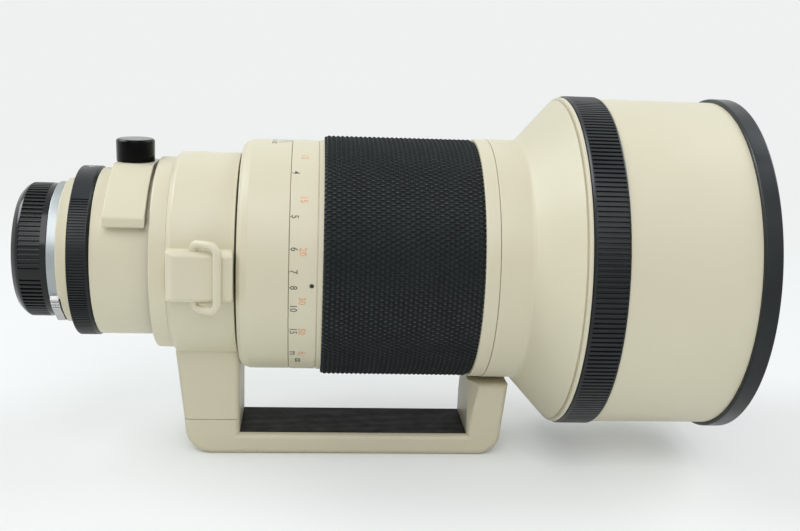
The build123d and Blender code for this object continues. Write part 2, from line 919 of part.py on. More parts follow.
# Front cell, with three stepped seats and the flange that stops the hood
lens_1_crown = seat_1 + cement - sag(lens_1_back_radius, lens_2_r)
seat_2 = lens_1_crown - lens_1_gap - lens_2_edge - sag(lens_2_radius, lens_2_r)
lens_3_edge = lens_3_centre - sag(lens_3_radius, lens_3_r)
seat_3 = seat_2 - lens_gap - lens_3_edge
front_cell_back = seat_3 - lens_gap
with BuildPart() as front_cell:
    revolve(
        profile(
            (front_cell_back, lens_3_r - shoulder),
            (front_cell_back, tube_bore - cement),
            (tube_front, tube_bore - cement),
            (tube_front, front_flange_r),
            (tube_front + front_flange, front_flange_r),
            (tube_front + front_flange, lens_1_r + cement),
            (seat_1, lens_1_r + cement),
            (seat_1, lens_2_r + cement),
            (seat_2, lens_2_r + cement),
            (seat_2, lens_3_r + cement),
            (seat_3, lens_3_r + cement),
            (seat_3, lens_3_r - shoulder),
        ),
        axis=Axis.X,
    )
save(front_cell.part, "front_cell")

# Ring that keeps the front element in its cell
lens_1_back = lens_1_crown + sag(lens_1_back_radius, lens_1_r)
with BuildPart() as front_ring:
    ring_inner = lens_1_r - ring_width
    ring_rise = sag(lens_1_radius, lens_1_r) - sag(lens_1_radius, ring_inner)
    revolve(
        profile(
            (lens_1_front + slide_gap + ring_rise, ring_inner),
            (lens_1_front + slide_gap, lens_1_r),
            (lens_1_front + ring_length, lens_1_r),
            (lens_1_front + ring_length, lens_1_r - ring_edge),
        ),
        axis=Axis.X,
    )
save(front_ring.part, "front_ring")

# Lens elements from the front: edge stations, half width and the radius of each face
lens_4_front = mid_back + lens_4_centre - sag(lens_4_radius, mid_lens_r)
lens_5_back = lens_4_front + cement
lens_6_back = cell_back + cell_lip
lens_6_bulge = sag(lens_6_back_radius, focus_lens_r) + sag(lens_6_radius, focus_lens_r)
lens_6_front = lens_6_back + lens_6_centre - lens_6_bulge
lens_7_back = lens_6_front + cement
elements = {
    "lens_1": element(lens_1_back, lens_1_front, lens_1_r, lens_1_back_radius, lens_1_radius),
    "lens_2": element(seat_2, seat_2 + lens_2_edge, lens_2_r, 0, lens_2_radius),
    "lens_3": element(seat_3, seat_3 + lens_3_edge, lens_3_r, 0, lens_3_radius),
    "lens_4": element(mid_back, lens_4_front, mid_lens_r, 0, lens_4_radius),
    "lens_5": element(lens_5_back, lens_5_back + lens_5_edge, mid_lens_r, -lens_4_radius, 0),
    "lens_6": element(lens_6_back, lens_6_front, focus_lens_r, lens_6_back_radius, lens_6_radius),
    "lens_7": element(lens_7_back, lens_7_back + lens_7_edge, focus_lens_r, -lens_6_radius, 0),
    "lens_8": element(rear_cell_step, rear_cell_step + lens_8_edge, rear_lens_r + 1, 0, lens_8_radius),
    "lens_9": element(rear_cell_lip, rear_cell_lip + lens_9_edge, rear_lens_r, 0, lens_9_radius),
}
for lens_name, section in elements.items():
    with BuildPart() as lens:
        revolve(section, axis=Axis.X)
    save(lens.part, lens_name)

# Hood, with a land at the back that slides on the tube
with BuildPart() as hood_shell:
    revolve(
        profile(
            (hood_back, tube_r + run_gap),
            (hood_back, lock_seat_r),
            (lock_front, lock_seat_r),
            (lock_front, hood_r),
            (rim_back, hood_r),
            (rim_back, hood_bore),
            (hood_back + hood_land, hood_bore),
            (hood_back + hood_land, tube_r + run_gap),
        ),
        axis=Axis.X,
    )
save(hood_shell.part, "hood_shell")

# Front rim of the hood
with BuildPart() as hood_rim:
    revolve(
        profile(
            (rim_back, hood_bore),
            (rim_back, rim_r - rim_edge),
            (rim_back + rim_edge, rim_r),
            (lens_front - rim_edge, rim_r),
            (lens_front, rim_r - rim_edge),
            (lens_front, hood_bore),
        ),
        axis=Axis.X,
    )
save(hood_rim.part, "hood_rim")

# Ribbed ring that clamps the hood
with BuildPart() as hood_lock_ring:
    lock_back = hood_back + end_gap
    extrude(
        ribbed(across(lock_back), lock_seat_r + run_gap, lock_r, hood_rib_depth, hood_ribs),
        amount=lock_front - end_gap - lock_back,
    )
save(hood_lock_ring.part, "hood_lock_ring")

# Tripod collar: ring, flat lug seats, lock boss and the upper part of the rear post
with BuildPart() as collar_ring:
    revolve(
        profile(
            (collar_back, bearing_r),
            (collar_back, collar_r - collar_edge),
            (collar_back + collar_edge, collar_r),
            (collar_front - collar_edge, collar_r),
            (collar_front, collar_r - collar_edge),
            (collar_front, bearing_r),
        ),
        axis=Axis.X,
    )
    with BuildSketch(Plane.XZ):
        with BuildLine():
            Polyline(
                (post_top_back, -collar_r + 8),
                (post_top_back, -bearing_r - 1.5),
                (post_back, foot_seam),
                (post_front, foot_seam),
                (post_front, -collar_r + 8),
                close=True,
            )
        make_face()
    extrude(amount=post_half, both=True)
    for side in (-1, 1):
        with Locations(((lug_back + lug_front) / 2, side * (lug_seat - 4), 0)):
            Box(lug_front - lug_back - 0.4, 8, 2 * lug_half - 0.4)
    with BuildSketch(around(lock_angle, bearing_r)):
        with Locations((lock_x, 0)):
            Circle(lock_boss_r)
    extrude(amount=lock_boss_top - bearing_r)
    with BuildSketch(around(lock_angle, bearing_r - 2)):
        with Locations((lock_x, 0)):
            Circle(lock_stem_r + run_gap)
    extrude(amount=lock_boss_top, mode=Mode.SUBTRACT)
    with BuildSketch(across(collar_back - 1)):
        Circle(bearing_r + run_gap)
    extrude(amount=collar_front - collar_back + 2, mode=Mode.SUBTRACT)
    with Locations(Plane.XY.offset(foot_seam)):
        with Locations((screw_x, -screw_y), (screw_x, screw_y)):
            Cylinder(screw_r + cement, 2 * (screw_top - foot_seam) + 2, mode=Mode.SUBTRACT)
save(collar_ring.part, "collar_ring")

# Foot bar: bottom of the rear post, the bar and the free front post
with BuildPart() as foot_bar:
    with BuildSketch(Plane.XZ):
        with BuildLine():
            Polyline(
                (post_back, foot_seam),
                (post_back + 1.5, foot_bottom),
                (front_post_low - 1.5, foot_bottom),
                (front_post_top, front_post_z),
                (front_post_top_back, front_post_z),
                (front_post_back, bar_top),
                (post_front, bar_top),
                (post_front, foot_seam),
                close=True,
            )
        face = make_face()
        fillet(face.vertices().group_by(Axis.Y)[0], foot_corner)
    extrude(amount=post_half, both=True)
    sides = foot_bar.faces().filter_by(Axis.Y)
    below_seam = sides.edges().filter_by(lambda edge: edge.center().Z < foot_seam - 1)
    beyond_post = sides.edges().filter_by(lambda edge: edge.center().X > post_front + 5)
    chamfer(set(below_seam + beyond_post), foot_edge)
    with Locations((pad_middle, 0, bar_top)):
        pad_seat = (pad_front - pad_back + 2 * slide_gap, 2 * (pad_half + slide_gap), 2 * pad_recess)
        Box(*pad_seat, mode=Mode.SUBTRACT)
    with Locations(Plane.XY.offset(foot_bottom)):
        with Locations((tripod_large_x, 0)):
            Cylinder(tripod_large_r, 2 * tripod_depth, mode=Mode.SUBTRACT)
        with Locations((tripod_small_x, 0)):
            Cylinder(tripod_small_r, 2 * tripod_depth, mode=Mode.SUBTRACT)
        with Locations((screw_x, -screw_y), (screw_x, screw_y)):
            Cylinder(screw_r + run_gap, 60, mode=Mode.SUBTRACT)
            Cylinder(screw_head_r + run_gap, 2 * (screw_head + screw_recess), mode=Mode.SUBTRACT)
save(foot_bar.part, "foot_bar")

# Rubber pad with ribs along the bar
with BuildPart() as foot_pad:
    pad_bottom = bar_top - pad_recess
    with BuildSketch(Plane.XY.offset(pad_bottom)):
        with Locations((pad_middle, 0)):
            Rectangle(pad_front - pad_back, 2 * pad_half)
    extrude(amount=pad_recess + pad_proud)
    rib_pitch = 2 * pad_half / pad_ribs
    with Locations((pad_middle, 0, bar_top + pad_proud)):
        with GridLocations(1, rib_pitch, 1, pad_ribs - 1):
            Box(pad_front - pad_back + 1, rib_pitch * 0.4, 2 * pad_rib_depth, mode=Mode.SUBTRACT)
save(foot_pad.part, "foot_pad")

# Screws that hold the foot bar to the collar's post
with BuildPart() as foot_screws:
    with Locations(Plane.XY.offset(foot_bottom + screw_recess)):
        with Locations((screw_x, -screw_y), (screw_x, screw_y)):
            with Locations((0, 0, screw_head / 2)):
                Cylinder(screw_head_r, screw_head)
            with Locations((0, 0, (screw_top - foot_bottom - screw_recess) / 2)):
                Cylinder(screw_r, screw_top - foot_bottom - screw_recess)
save(foot_screws.part, "foot_screws")

# Knob that clamps the collar, low on the left side
with BuildPart() as collar_lock_knob:
    knob_floor = lock_boss_top + seat_gap
    with BuildSketch(around(lock_angle, knob_floor)):
        with Locations((lock_x, 0)):
            Circle(lock_knob_r)
            with PolarLocations(lock_knob_r + 1.6, lock_scallops):
                Circle(2.8, mode=Mode.SUBTRACT)
    extrude(amount=lock_knob_length)
    with BuildSketch(around(lock_angle, bearing_r + slide_gap)):
        with Locations((lock_x, 0)):
            Circle(lock_stem_r)
    extrude(amount=knob_floor - bearing_r - slide_gap)
save(collar_lock_knob.part, "collar_lock_knob")

# Strap lugs and their wire loops, one pair each side
for side_name, side in (("near", -1), ("far", 1)):
    with BuildPart() as strap_lug:
        with Locations(((lug_back + lug_front) / 2, side * (lug_seat + lug_face) / 2, 0)):
            Box(lug_front - lug_back, lug_face - lug_seat, 2 * lug_half)
        face = strap_lug.faces().sort_by(Axis.Y)[-1 if side > 0 else 0]
        bevelled = face.edges().sort_by(Axis.X)[:-1]
        chamfer(bevelled, lug_bevel)
        for end in (-1, 1):
            with Locations((loop_x, side * loop_y, end * lug_half)):
                Cylinder(wire_r + run_gap, 2 * (lug_half - loop_stub) + 1, mode=Mode.SUBTRACT)
    save(strap_lug.part, f"strap_lug_{side_name}")

    reach = Vector(cos(radians(loop_lean)), side * sin(radians(loop_lean)), 0)
    hinge = Plane(origin=(loop_x, side * loop_y, 0), x_dir=reach, z_dir=reach.cross(Vector(0, 0, 1)))
    with BuildPart() as strap_loop:
        with BuildLine(hinge) as wire:
            Polyline(
                (0, loop_stub),
                (0, loop_half - loop_pivot_bend),
                (loop_pivot_bend, loop_half),
                (loop_reach - loop_corner, loop_half),
                (loop_reach, loop_half - loop_corner),
                (loop_reach, -loop_half + loop_corner),
                (loop_reach - loop_corner, -loop_half),
                (loop_pivot_bend, -loop_half),
                (0, -loop_half + loop_pivot_bend),
                (0, -loop_stub),
            )
        with BuildSketch(Plane(origin=wire.line @ 0, z_dir=wire.line % 0)):
            Circle(wire_r)
        sweep(path=wire.line, transition=Transition.RIGHT)
    save(strap_loop.part, f"strap_loop_{side_name}")
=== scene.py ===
import json
from math import asin, cos, degrees, radians, sin, sqrt, tau

import bmesh
import bpy
from mathutils import Matrix, Vector

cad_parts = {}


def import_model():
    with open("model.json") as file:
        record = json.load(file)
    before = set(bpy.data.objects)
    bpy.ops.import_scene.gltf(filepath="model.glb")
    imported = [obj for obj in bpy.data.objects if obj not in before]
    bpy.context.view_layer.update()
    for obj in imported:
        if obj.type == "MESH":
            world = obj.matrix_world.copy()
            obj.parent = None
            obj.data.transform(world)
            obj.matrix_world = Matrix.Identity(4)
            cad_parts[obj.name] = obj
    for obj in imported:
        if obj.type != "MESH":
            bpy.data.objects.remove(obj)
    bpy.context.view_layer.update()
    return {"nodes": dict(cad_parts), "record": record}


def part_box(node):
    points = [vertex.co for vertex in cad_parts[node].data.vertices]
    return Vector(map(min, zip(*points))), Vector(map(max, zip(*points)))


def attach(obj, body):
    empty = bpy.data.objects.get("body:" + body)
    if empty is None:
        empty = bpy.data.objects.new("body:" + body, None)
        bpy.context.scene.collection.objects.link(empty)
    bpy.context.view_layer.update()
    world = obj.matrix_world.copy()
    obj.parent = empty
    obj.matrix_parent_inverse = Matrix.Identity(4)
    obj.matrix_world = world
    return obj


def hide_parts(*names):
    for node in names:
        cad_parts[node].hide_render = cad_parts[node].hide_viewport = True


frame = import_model()

# Everything here is in millimetres until it becomes a mesh, which is in metres.
# Stations run along X, the optical axis. Angles round the axis run from -Y, the side
# that faces the camera, towards +Z, the top.
MM = 0.001
TURN_STEPS = 256
X_AXIS, Z_AXIS = (1, 0, 0), (0, 0, 1)
RECORD = frame["record"]
BODY_OF = {node: body for body, nodes in RECORD["behaviour"]["bodies"].items() for node in nodes}
SLOT_OF = {part["node"]: part["material_slot"] for part in RECORD["subparts"]}


# Reading the frame
def ends(node):
    """First and last station of a CAD node."""
    low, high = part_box(node)
    return low.x / MM, high.x / MM


def reach(node):
    """Outer radius of a turned CAD node, whose seam lies on +Y."""
    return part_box(node)[1].y / MM


# Mesh tools
def outward(angle):
    """Direction away from the axis at an angle in degrees."""
    return Vector((0, -cos(radians(angle)), sin(radians(angle))))


def across_axis(u, v, station):
    """Place of a prism's point when its outline lies square to the axis."""
    return station, u, v


def across_view(u, v, side):
    """Place of a prism's point when its outline lies along the axis, upright."""
    return u, side, v


def linked(name, data):
    """New object in the scene."""
    thing = bpy.data.objects.new(name, data)
    bpy.context.scene.collection.objects.link(thing)
    return thing


def around(station, radius, angle):
    """Point at a radius and an angle in radians."""
    return station, -radius * cos(angle), radius * sin(angle)


def band(one, two, count):
    """Faces between two closed rows of points, whose first points have these numbers."""
    after = [(index + 1) % count for index in range(count)]
    return [(one + index, one + then, two + then, two + index) for index, then in enumerate(after)]


def mesh_of(name, points, faces, sharp=35):
    """Mesh from points in millimetres, smooth apart from edges sharper than this angle."""
    mesh = bpy.data.meshes.new(name)
    mesh.from_pydata([Vector(point) * MM for point in points], [], faces)
    return tidied(mesh, sharp)


def tidied(mesh, sharp=35):
    """Merges doubles, points the faces outwards and sets smooth shading."""
    work = bmesh.new()
    work.from_mesh(mesh)
    bmesh.ops.remove_doubles(work, verts=work.verts, dist=1e-7)
    bmesh.ops.recalc_face_normals(work, faces=work.faces)
    work.to_mesh(mesh)
    work.free()
    mesh.shade_smooth()
    mesh.set_sharp_from_angle(angle=radians(sharp))
    return mesh


def softened(corners, steps=4):
    """Closed outline with each corner (station, radius, rounding, drop weight) rounded off."""
    outline = []
    for index, corner in enumerate(corners):
        here = Vector(corner[:2])
        rounding = corner[2] if len(corner) > 2 else 0
        weight = corner[3] if len(corner) > 3 else 0
        if not rounding:
            outline.append((*here, weight))
            continue
        before = Vector(corners[index - 1][:2])
        after = Vector(corners[(index + 1) % len(corners)][:2])
        start = here + (before - here).normalized() * rounding
        end = here + (after - here).normalized() * rounding
        for step in range(steps + 1):
            t = step / steps
            point = start * (1 - t) ** 2 + here * 2 * t * (1 - t) + end * t * t
            outline.append((*point, weight))
    return outline


def evenly(steps):
    """Angles all the way round, with no grooves."""
    return [(360 * step / steps, 0) for step in range(steps)]


def turned(name, corners, cuts=None, sharp=35):
    """Turns an outline about the axis. cuts is a list of (angle in degrees, depth), and the
    depth lowers the outline's points by their weights."""
    outline = softened(corners)
    cuts = cuts or evenly(TURN_STEPS)
    points = []
    for angle, depth in cuts:
        out = outward(angle)
        for station, radius, weight in outline:
            points.append(out * (radius - depth * weight) + Vector((station, 0, 0)))
    count = len(outline)
    faces = []
    for turn in range(len(cuts)):
        faces += band(turn * count, (turn + 1) % len(cuts) * count, count)
    return mesh_of(name, points, faces, sharp)


def ribs(count, depth, top_share=0.55, slope=0.12, plain=None):
    """Angles and depths of evenly spaced ribs, without grooves between two plain angles."""
    pitch = 360 / count
    cuts = []
    for rib in range(count):
        angle = rib * pitch
        middle = angle + pitch * (1 + top_share) / 2
        smooth = plain and plain[0] < middle % 360 < plain[1]
        deep = 0 if smooth else depth
        shares = ((0, 0), (top_share, 0), (top_share + slope, deep), (1 - slope, deep))
        cuts += [(angle + pitch * share, lowered) for share, lowered in shares]
    return cuts


def aimed(mesh, place, direction):
    """Points a mesh's X axis in a direction and moves its origin to a place."""
    turn = Vector(X_AXIS).rotation_difference(Vector(direction)).to_matrix().to_4x4()
    mesh.transform(Matrix.Translation(Vector(place) * MM) @ turn)
    return mesh


def spun(name, corners, place=(0, 0, 0), direction=X_AXIS, sides=64):
    """Outline turned about the X axis, then aimed from a place in a direction."""
    return aimed(turned(name, corners, evenly(sides)), place, direction)


def rod(low, high, radius, *place):
    """Cylinder between two distances along its axis, aimed as spun aims it."""
    return spun("rod", [(low, 0), (low, radius), (high, radius), (high, 0)], *place)


def bevelled(name, points, faces, rounds, sharp=35):
    """Solid whose edges are rounded in turn. Each round has a test of an edge's two ends, a
    width and a number of segments."""
    mesh = bpy.data.meshes.new(name)
    mesh.from_pydata([Vector(point) for point in points], [], faces)
    work = bmesh.new()
    work.from_mesh(mesh)
    bmesh.ops.recalc_face_normals(work, faces=work.faces)
    for chosen, width, segments in rounds:
        picked = [edge for edge in work.edges if chosen(*[vert.co for vert in edge.verts])]
        settings = {"segments": segments, "profile": 0.5, "affect": "EDGES", "clamp_overlap": True}
        bmesh.ops.bevel(work, geom=picked, offset=width, **settings)
    bmesh.ops.scale(work, vec=(MM, MM, MM), verts=work.verts)
    work.to_mesh(mesh)
    work.free()
    return tidied(mesh, sharp)


def prism(outline, low, high, at):
    """Points and faces of an outline carried from low to high; at places (u, v, w)."""
    count = len(outline)
    points = [at(u, v, low) for u, v in outline] + [at(u, v, high) for u, v in outline]
    caps = [tuple(range(count)), tuple(range(2 * count - 1, count - 1, -1))]
    return points, caps + band(0, count, count)


def arc(centre, radius, start, end, steps):
    """Points of an arc between two angles in degrees."""
    found = []
    for step in range(steps + 1):
        angle = radians(start + (end - start) * step / steps)
        found.append((centre[0] + radius * cos(angle), centre[1] + radius * sin(angle)))
    return found


def rounded_corner(before, here, after, radius, steps=8):
    """Arc that rounds off one corner of a flat outline, as a list of points."""
    here = Vector(here)
    one = (Vector(before) - here).normalized()
    two = (Vector(after) - here).normalized()
    half = one.angle(two) / 2
    reach_in = radius / sin(half)
    centre = here + (one + two).normalized() * reach_in
    start = here + one * (reach_in * cos(half))
    end = here + two * (reach_in * cos(half))
    found = []
    for step in range(steps + 1):
        ray = (start - centre).lerp(end - centre, step / steps).normalized() * radius
        found.append(tuple(centre + ray))
    return found


def cut_with(mesh, cutters):
    """The mesh less each cutter mesh."""
    for cutter in cutters:
        body, tool = linked("uncut", mesh), linked("cutter", cutter)
        modifier = body.modifiers.new("cut", "BOOLEAN")
        modifier.operation = "DIFFERENCE"
        modifier.solver = "EXACT"
        modifier.object = tool
        bpy.context.view_layer.update()
        shaped = body.evaluated_get(bpy.context.evaluated_depsgraph_get())
        mesh = bpy.data.meshes.new_from_object(shaped)
        for thing in (body, tool):
            bpy.data.objects.remove(thing)
    mesh.set_sharp_from_angle(angle=radians(35))
    return mesh


def block(low, high, turn=0):
    """Box mesh between two corners, turned about X by an angle."""
    mesh = bpy.data.meshes.new("block")
    work = bmesh.new()
    bmesh.ops.create_cube(work, size=1)
    middle = (Vector(low) + Vector(high)) / 2 * MM
    size = (Vector(high) - Vector(low)) * MM
    bmesh.ops.scale(work, vec=size, verts=work.verts)
    bmesh.ops.translate(work, vec=middle, verts=work.verts)
    bmesh.ops.rotate(work, matrix=Matrix.Rotation(radians(turn), 3, "X"), verts=work.verts)
    work.to_mesh(mesh)
    work.free()
    return mesh


def joined(name, meshes):
    """One mesh from several."""
    work = bmesh.new()
    for mesh in meshes:
        work.from_mesh(mesh)
    made = bpy.data.meshes.new(name)
    work.to_mesh(made)
    work.free()
    made.shade_smooth()
    made.set_sharp_from_angle(angle=radians(35))
    return made


# Materials, one function for each finish
def node_material(name, colour, roughness, metallic=0.0, gloss=1.0):
    """Material with a Principled shader, and the shader. Gloss below 1 dims what a face
    seen squarely reflects."""
    material = bpy.data.materials.new(name)
    material.use_nodes = True
    nodes = material.node_tree.nodes
    shader = nodes["Principled BSDF"]
    shader.inputs["Base Color"].default_value = (*colour, 1)
    shader.inputs["Roughness"].default_value = roughness
    shader.inputs["Metallic"].default_value = metallic
    shader.inputs["Specular Tint"].default_value = (gloss, gloss, gloss, 1)
    return material, shader


def node_with(nodes, kind, values):
    """New shader node with these values in its inputs."""
    node = nodes.new("ShaderNode" + kind)
    for name, value in values.items():
        node.inputs[name].default_value = value
    return node


def add_noise(material, scale, detail=3.0, stretch=(1, 1, 1)):
    """Noise in the object's own space, stretched along the axes, with features per metre."""
    nodes, links = material.node_tree.nodes, material.node_tree.links
    place = nodes.new("ShaderNodeTexCoord")
    mapping = node_with(nodes, "Mapping", {"Scale": stretch})
    noise = node_with(nodes, "TexNoise", {"Scale": scale, "Detail": detail})
    links.new(place.outputs["Object"], mapping.inputs["Vector"])
    links.new(mapping.outputs["Vector"], noise.inputs["Vector"])
    return noise


def mottle(material, shader, colour, other, scale):
    """Base colour that drifts between two tints."""
    nodes, links = material.node_tree.nodes, material.node_tree.links
    noise = add_noise(material, scale, 5.0)
    ramp = nodes.new("ShaderNodeValToRGB")
    ramp.color_ramp.elements[0].position = 0.35
    ramp.color_ramp.elements[1].position = 0.65
    ramp.color_ramp.elements[0].color = (*colour, 1)
    ramp.color_ramp.elements[1].color = (*other, 1)
    links.new(noise.outputs["Fac"], ramp.inputs["Fac"])
    links.new(ramp.outputs["Color"], shader.inputs["Base Color"])


def vary_roughness(material, shader, low, high, scale, stretch=(1, 1, 1)):
    """Roughness that drifts between two values."""
    nodes, links = material.node_tree.nodes, material.node_tree.links
    noise = add_noise(material, scale, 4.0, stretch)
    values = {"From Min": 0.3, "From Max": 0.7, "To Min": low, "To Max": high}
    spread = node_with(nodes, "MapRange", values)
    links.new(noise.outputs["Fac"], spread.inputs["Value"])
    links.new(spread.outputs["Result"], shader.inputs["Roughness"])


def grain(material, shader, scale, height, strength=1.0, stretch=(1, 1, 1)):
    """Fine relief of this height in metres."""
    nodes, links = material.node_tree.nodes, material.node_tree.links
    noise = add_noise(material, scale, 2.0, stretch)
    bump = node_with(nodes, "Bump", {"Distance": height, "Strength": strength})
    links.new(noise.outputs["Fac"], bump.inputs["Height"])
    links.new(bump.outputs["Normal"], shader.inputs["Normal"])


CREAM = (0.660, 0.619, 0.468)
CREAM_WORN = (0.634, 0.592, 0.442)
BLACK = (0.005, 0.0075, 0.0085)
BLACK_WORN = (0.009, 0.012, 0.0135)
RUBBER = (0.003, 0.006, 0.006)
RUBBER_DUSTY = (0.006, 0.010, 0.010)


def finish(name, tints, roughness, relief, metallic=0.0, gloss=1.0, stretch=(1, 1, 1)):
    """Material whose tints (colour, other colour, scale) and roughness (low, high, scale)
    drift, with a fine relief (scale, height in metres, strength)."""
    low, high, scale = roughness
    material, shader = node_material(name, tints[0], (low + high) / 2, metallic, gloss)
    mottle(material, shader, *tints)
    vary_roughness(material, shader, low, high, scale, stretch)
    grain(material, shader, *relief, stretch)
    return material


def cream_enamel():
    tints = (CREAM, CREAM_WORN, 14)
    return finish("cream_enamel", tints, (0.36, 0.48, 60), (2600, 0.00002, 0.25), gloss=0.9)


def black_enamel():
    tints = (BLACK, BLACK_WORN, 90)
    return finish("black_enamel", tints, (0.27, 0.40, 120), (3500, 0.00002, 0.2), gloss=0.65)


def black_inside():
    tints = ((0.008, 0.008, 0.009), (0.014, 0.014, 0.015), 60)
    return finish("black_inside", tints, (0.6, 0.8, 200), (1500, 0.00003, 0.4))


def mount_steel():
    tints = ((0.46, 0.485, 0.49), (0.33, 0.36, 0.365), 28)
    relief = (2500, 0.00001, 0.08)
    return finish("mount_steel", tints, (0.33, 0.43, 900), relief, 1.0, stretch=(1, 0.03, 0.03))


def steel():
    tints = ((0.6, 0.6, 0.59), (0.5, 0.5, 0.5), 60)
    relief = (3000, 0.00001, 0.15)
    return finish("steel", tints, (0.22, 0.4, 600), relief, 1.0, stretch=(1, 0.1, 0.1))


def blade_steel():
    tints = ((0.05, 0.05, 0.055), (0.09, 0.09, 0.095), 120)
    return finish("blade_steel", tints, (0.28, 0.45, 400), (3000, 0.00001, 0.2), 1.0)


def pin_brass():
    tints = ((0.6, 0.43, 0.16), (0.5, 0.35, 0.13), 120)
    return finish("pin_brass", tints, (0.22, 0.4, 600), (3000, 0.00001, 0.2), 1.0)


def cell_aluminium():
    tints = ((0.05, 0.05, 0.055), (0.07, 0.07, 0.075), 80)
    return finish("cell_aluminium", tints, (0.4, 0.55, 300), (2500, 0.00001, 0.2), 0.6)


def rubber():
    tints = (RUBBER, RUBBER_DUSTY, 110)
    material = finish("rubber", tints, (0.34, 0.46, 160), (4000, 0.00003, 0.3), gloss=0.28)
    shader = material.node_tree.nodes["Principled BSDF"]
    shader.inputs["Sheen Weight"].default_value = 0.6
    shader.inputs["Sheen Roughness"].default_value = 0.4
    return material


def pad_rubber():
    tints = ((0.006, 0.0055, 0.005), (0.009, 0.0085, 0.008), 90)
    return finish("pad_rubber", tints, (0.42, 0.6, 160), (4000, 0.00003, 0.3), gloss=0.3)


def knob_gloss():
    tints = ((0.003, 0.003, 0.003), (0.006, 0.006, 0.0055), 150)
    return finish("knob_gloss", tints, (0.1, 0.2, 200), (3000, 0.00001, 0.15), gloss=0.08)


def cap_plastic():
    tints = ((0.003, 0.004, 0.0045), (0.006, 0.007, 0.0075), 120)
    return finish("cap_plastic", tints, (0.12, 0.2, 150), (3000, 0.00001, 0.15), gloss=0.75)


def glass():
    material, shader = node_material("glass", (1, 1, 1), 0.0)
    shader.inputs["Transmission Weight"].default_value = 1.0
    shader.inputs["IOR"].default_value = 1.52
    shader.inputs["Thin Film Thickness"].default_value = 320
    shader.inputs["Thin Film IOR"].default_value = 1.38
    vary_roughness(material, shader, 0.0, 0.02, 300)
    return material


def ink(name, colour):
    material, shader = node_material(name, colour, 0.5)
    mottle(material, shader, colour, tuple(min(1, 1.4 * part + 0.02) for part in colour), 900)
    return material


PAINTS = (cream_enamel, black_enamel, black_inside, cap_plastic, knob_gloss, rubber, pad_rubber)
METALS = (mount_steel, steel, blade_steel, pin_brass, cell_aluminium)
MATERIALS = {make.__name__: make() for make in (*PAINTS, *METALS, glass)}
DARK_INK = ink("dark_ink", (0.05, 0.05, 0.045))
ORANGE_INK = ink("orange_ink", (0.60, 0.27, 0.12))
WHITE_INK = ink("white_ink", (0.75, 0.75, 0.7))
RED_INK = ink("red_ink", (0.5, 0.03, 0.02))

for node, thing in frame["nodes"].items():
    thing.data.materials.clear()
    thing.data.materials.append(MATERIALS[SLOT_OF[node]])


# Placing pieces
def piece(name, mesh, body, material):
    """Object on a body, with its normals weighted by face area."""
    thing = linked(name, mesh)
    mesh.materials.clear()
    mesh.materials.append(material)
    weigh = thing.modifiers.new("weighted", "WEIGHTED_NORMAL")
    weigh.keep_sharp = True
    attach(thing, body)
    return thing


def stand_for(node, mesh, material=None):
    """Replaces one CAD node on its own body, in its slot's material or another."""
    slot = SLOT_OF[node]
    thing = piece(node + "_finish", mesh, BODY_OF[node], MATERIALS[material or slot])
    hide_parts(node)


def ring(node, corners, cuts=None, cutters=()):
    """Replaces one CAD node with a turned outline, less each cutter mesh."""
    stand_for(node, cut_with(turned(node, corners, cuts), cutters))


# Rear cap
def rear_cap():
    back, front = ends("rear_cap")
    outer = reach("rear_cap")
    bore = outer - 2.8
    wall = 1.8
    groove_from, groove_to = back + 3.4, front - 2.4
    groups, groove_pitch, grooves = 3, 4.2, 27
    group_start, group_step = -3.4, 360 / groups
    profile = ((-1.1, 0.12), (-0.7, 0.75), (0.7, 0.75), (1.1, 0.12))
    rib_top = ((1.6, 0), (2.6, 0))
    plain_steps = 6
    cuts = []
    for group in range(groups):
        start = group_start + group * group_step
        for groove in range(grooves):
            middle = start + groove * groove_pitch
            shape = profile + (rib_top if groove < grooves - 1 else ())
            cuts += [(middle + off, depth) for off, depth in shape]
        plain_from = middle + 1.3
        plain_to = start + group_step - 1.3
        for step in range(1, plain_steps):
            cuts.append((plain_from + (plain_to - plain_from) * step / plain_steps, 0))
    ring("rear_cap", [
        (back, 0), (back, outer - 6.6, 0.1), (back + 0.4, outer - 6.4, 0.1),
        (back + 0.4, outer - 5.6, 0.1), (back, outer - 5.4, 0.1), (back, outer - 3.0, 0.6),
        (back + 2.4, outer - 0.5, 1.0), (groove_from, outer - 0.2),
        (groove_from + 0.1, outer, 0, 1), (groove_to - 0.1, outer, 0, 1), (groove_to, outer),
        (front, outer - 0.1, 0.3), (front, bore, 0.2), (back + wall, bore, 0.6), (back + wall, 0),
    ], cuts)


# Mount ring, rear ring and the two buttons
BUTTON_ANGLES = {"preview_button": -45.0, "release_button": -135.0}
BUTTON_STEM_X = 1.85
MOUNT_SCREW_PLACES = [outward(turn) * 26.0 for turn in range(0, 360, 90)]


def mount_holes():
    """Cutters for the buttons' notches, their stems' guides and the mount ring's screws."""
    notch_back, notch_front, notch_floor, notch_half, beyond = 0.5, 4.6, 24.6, 8.4, 60
    guide_from, guide_to, guide_r = 17, 26, 1.25
    low, high = (notch_back, -beyond, -notch_half), (notch_front, -notch_floor, notch_half)
    cutters = []
    for angle in BUTTON_ANGLES.values():
        cutters.append(block(low, high, -angle))
        cutters.append(rod(guide_from, guide_to, guide_r, (BUTTON_STEM_X, 0, 0), outward(angle), 24))
    return cutters + mount_screw_holes()


def mount_screw_holes():
    """Cutters for the heads and shanks of the mount ring's screws."""
    head_r, head_end, shank_r, shank_end = 2.06, 1.55, 1.05, 12
    corners = [(-1, 0), (-1, 2.3), (0.2, head_r), (head_end, head_r)]
    corners += [(head_end, shank_r), (shank_end, shank_r), (shank_end, 0)]
    return [spun("hole", corners, place, X_AXIS, 32) for place in MOUNT_SCREW_PLACES]


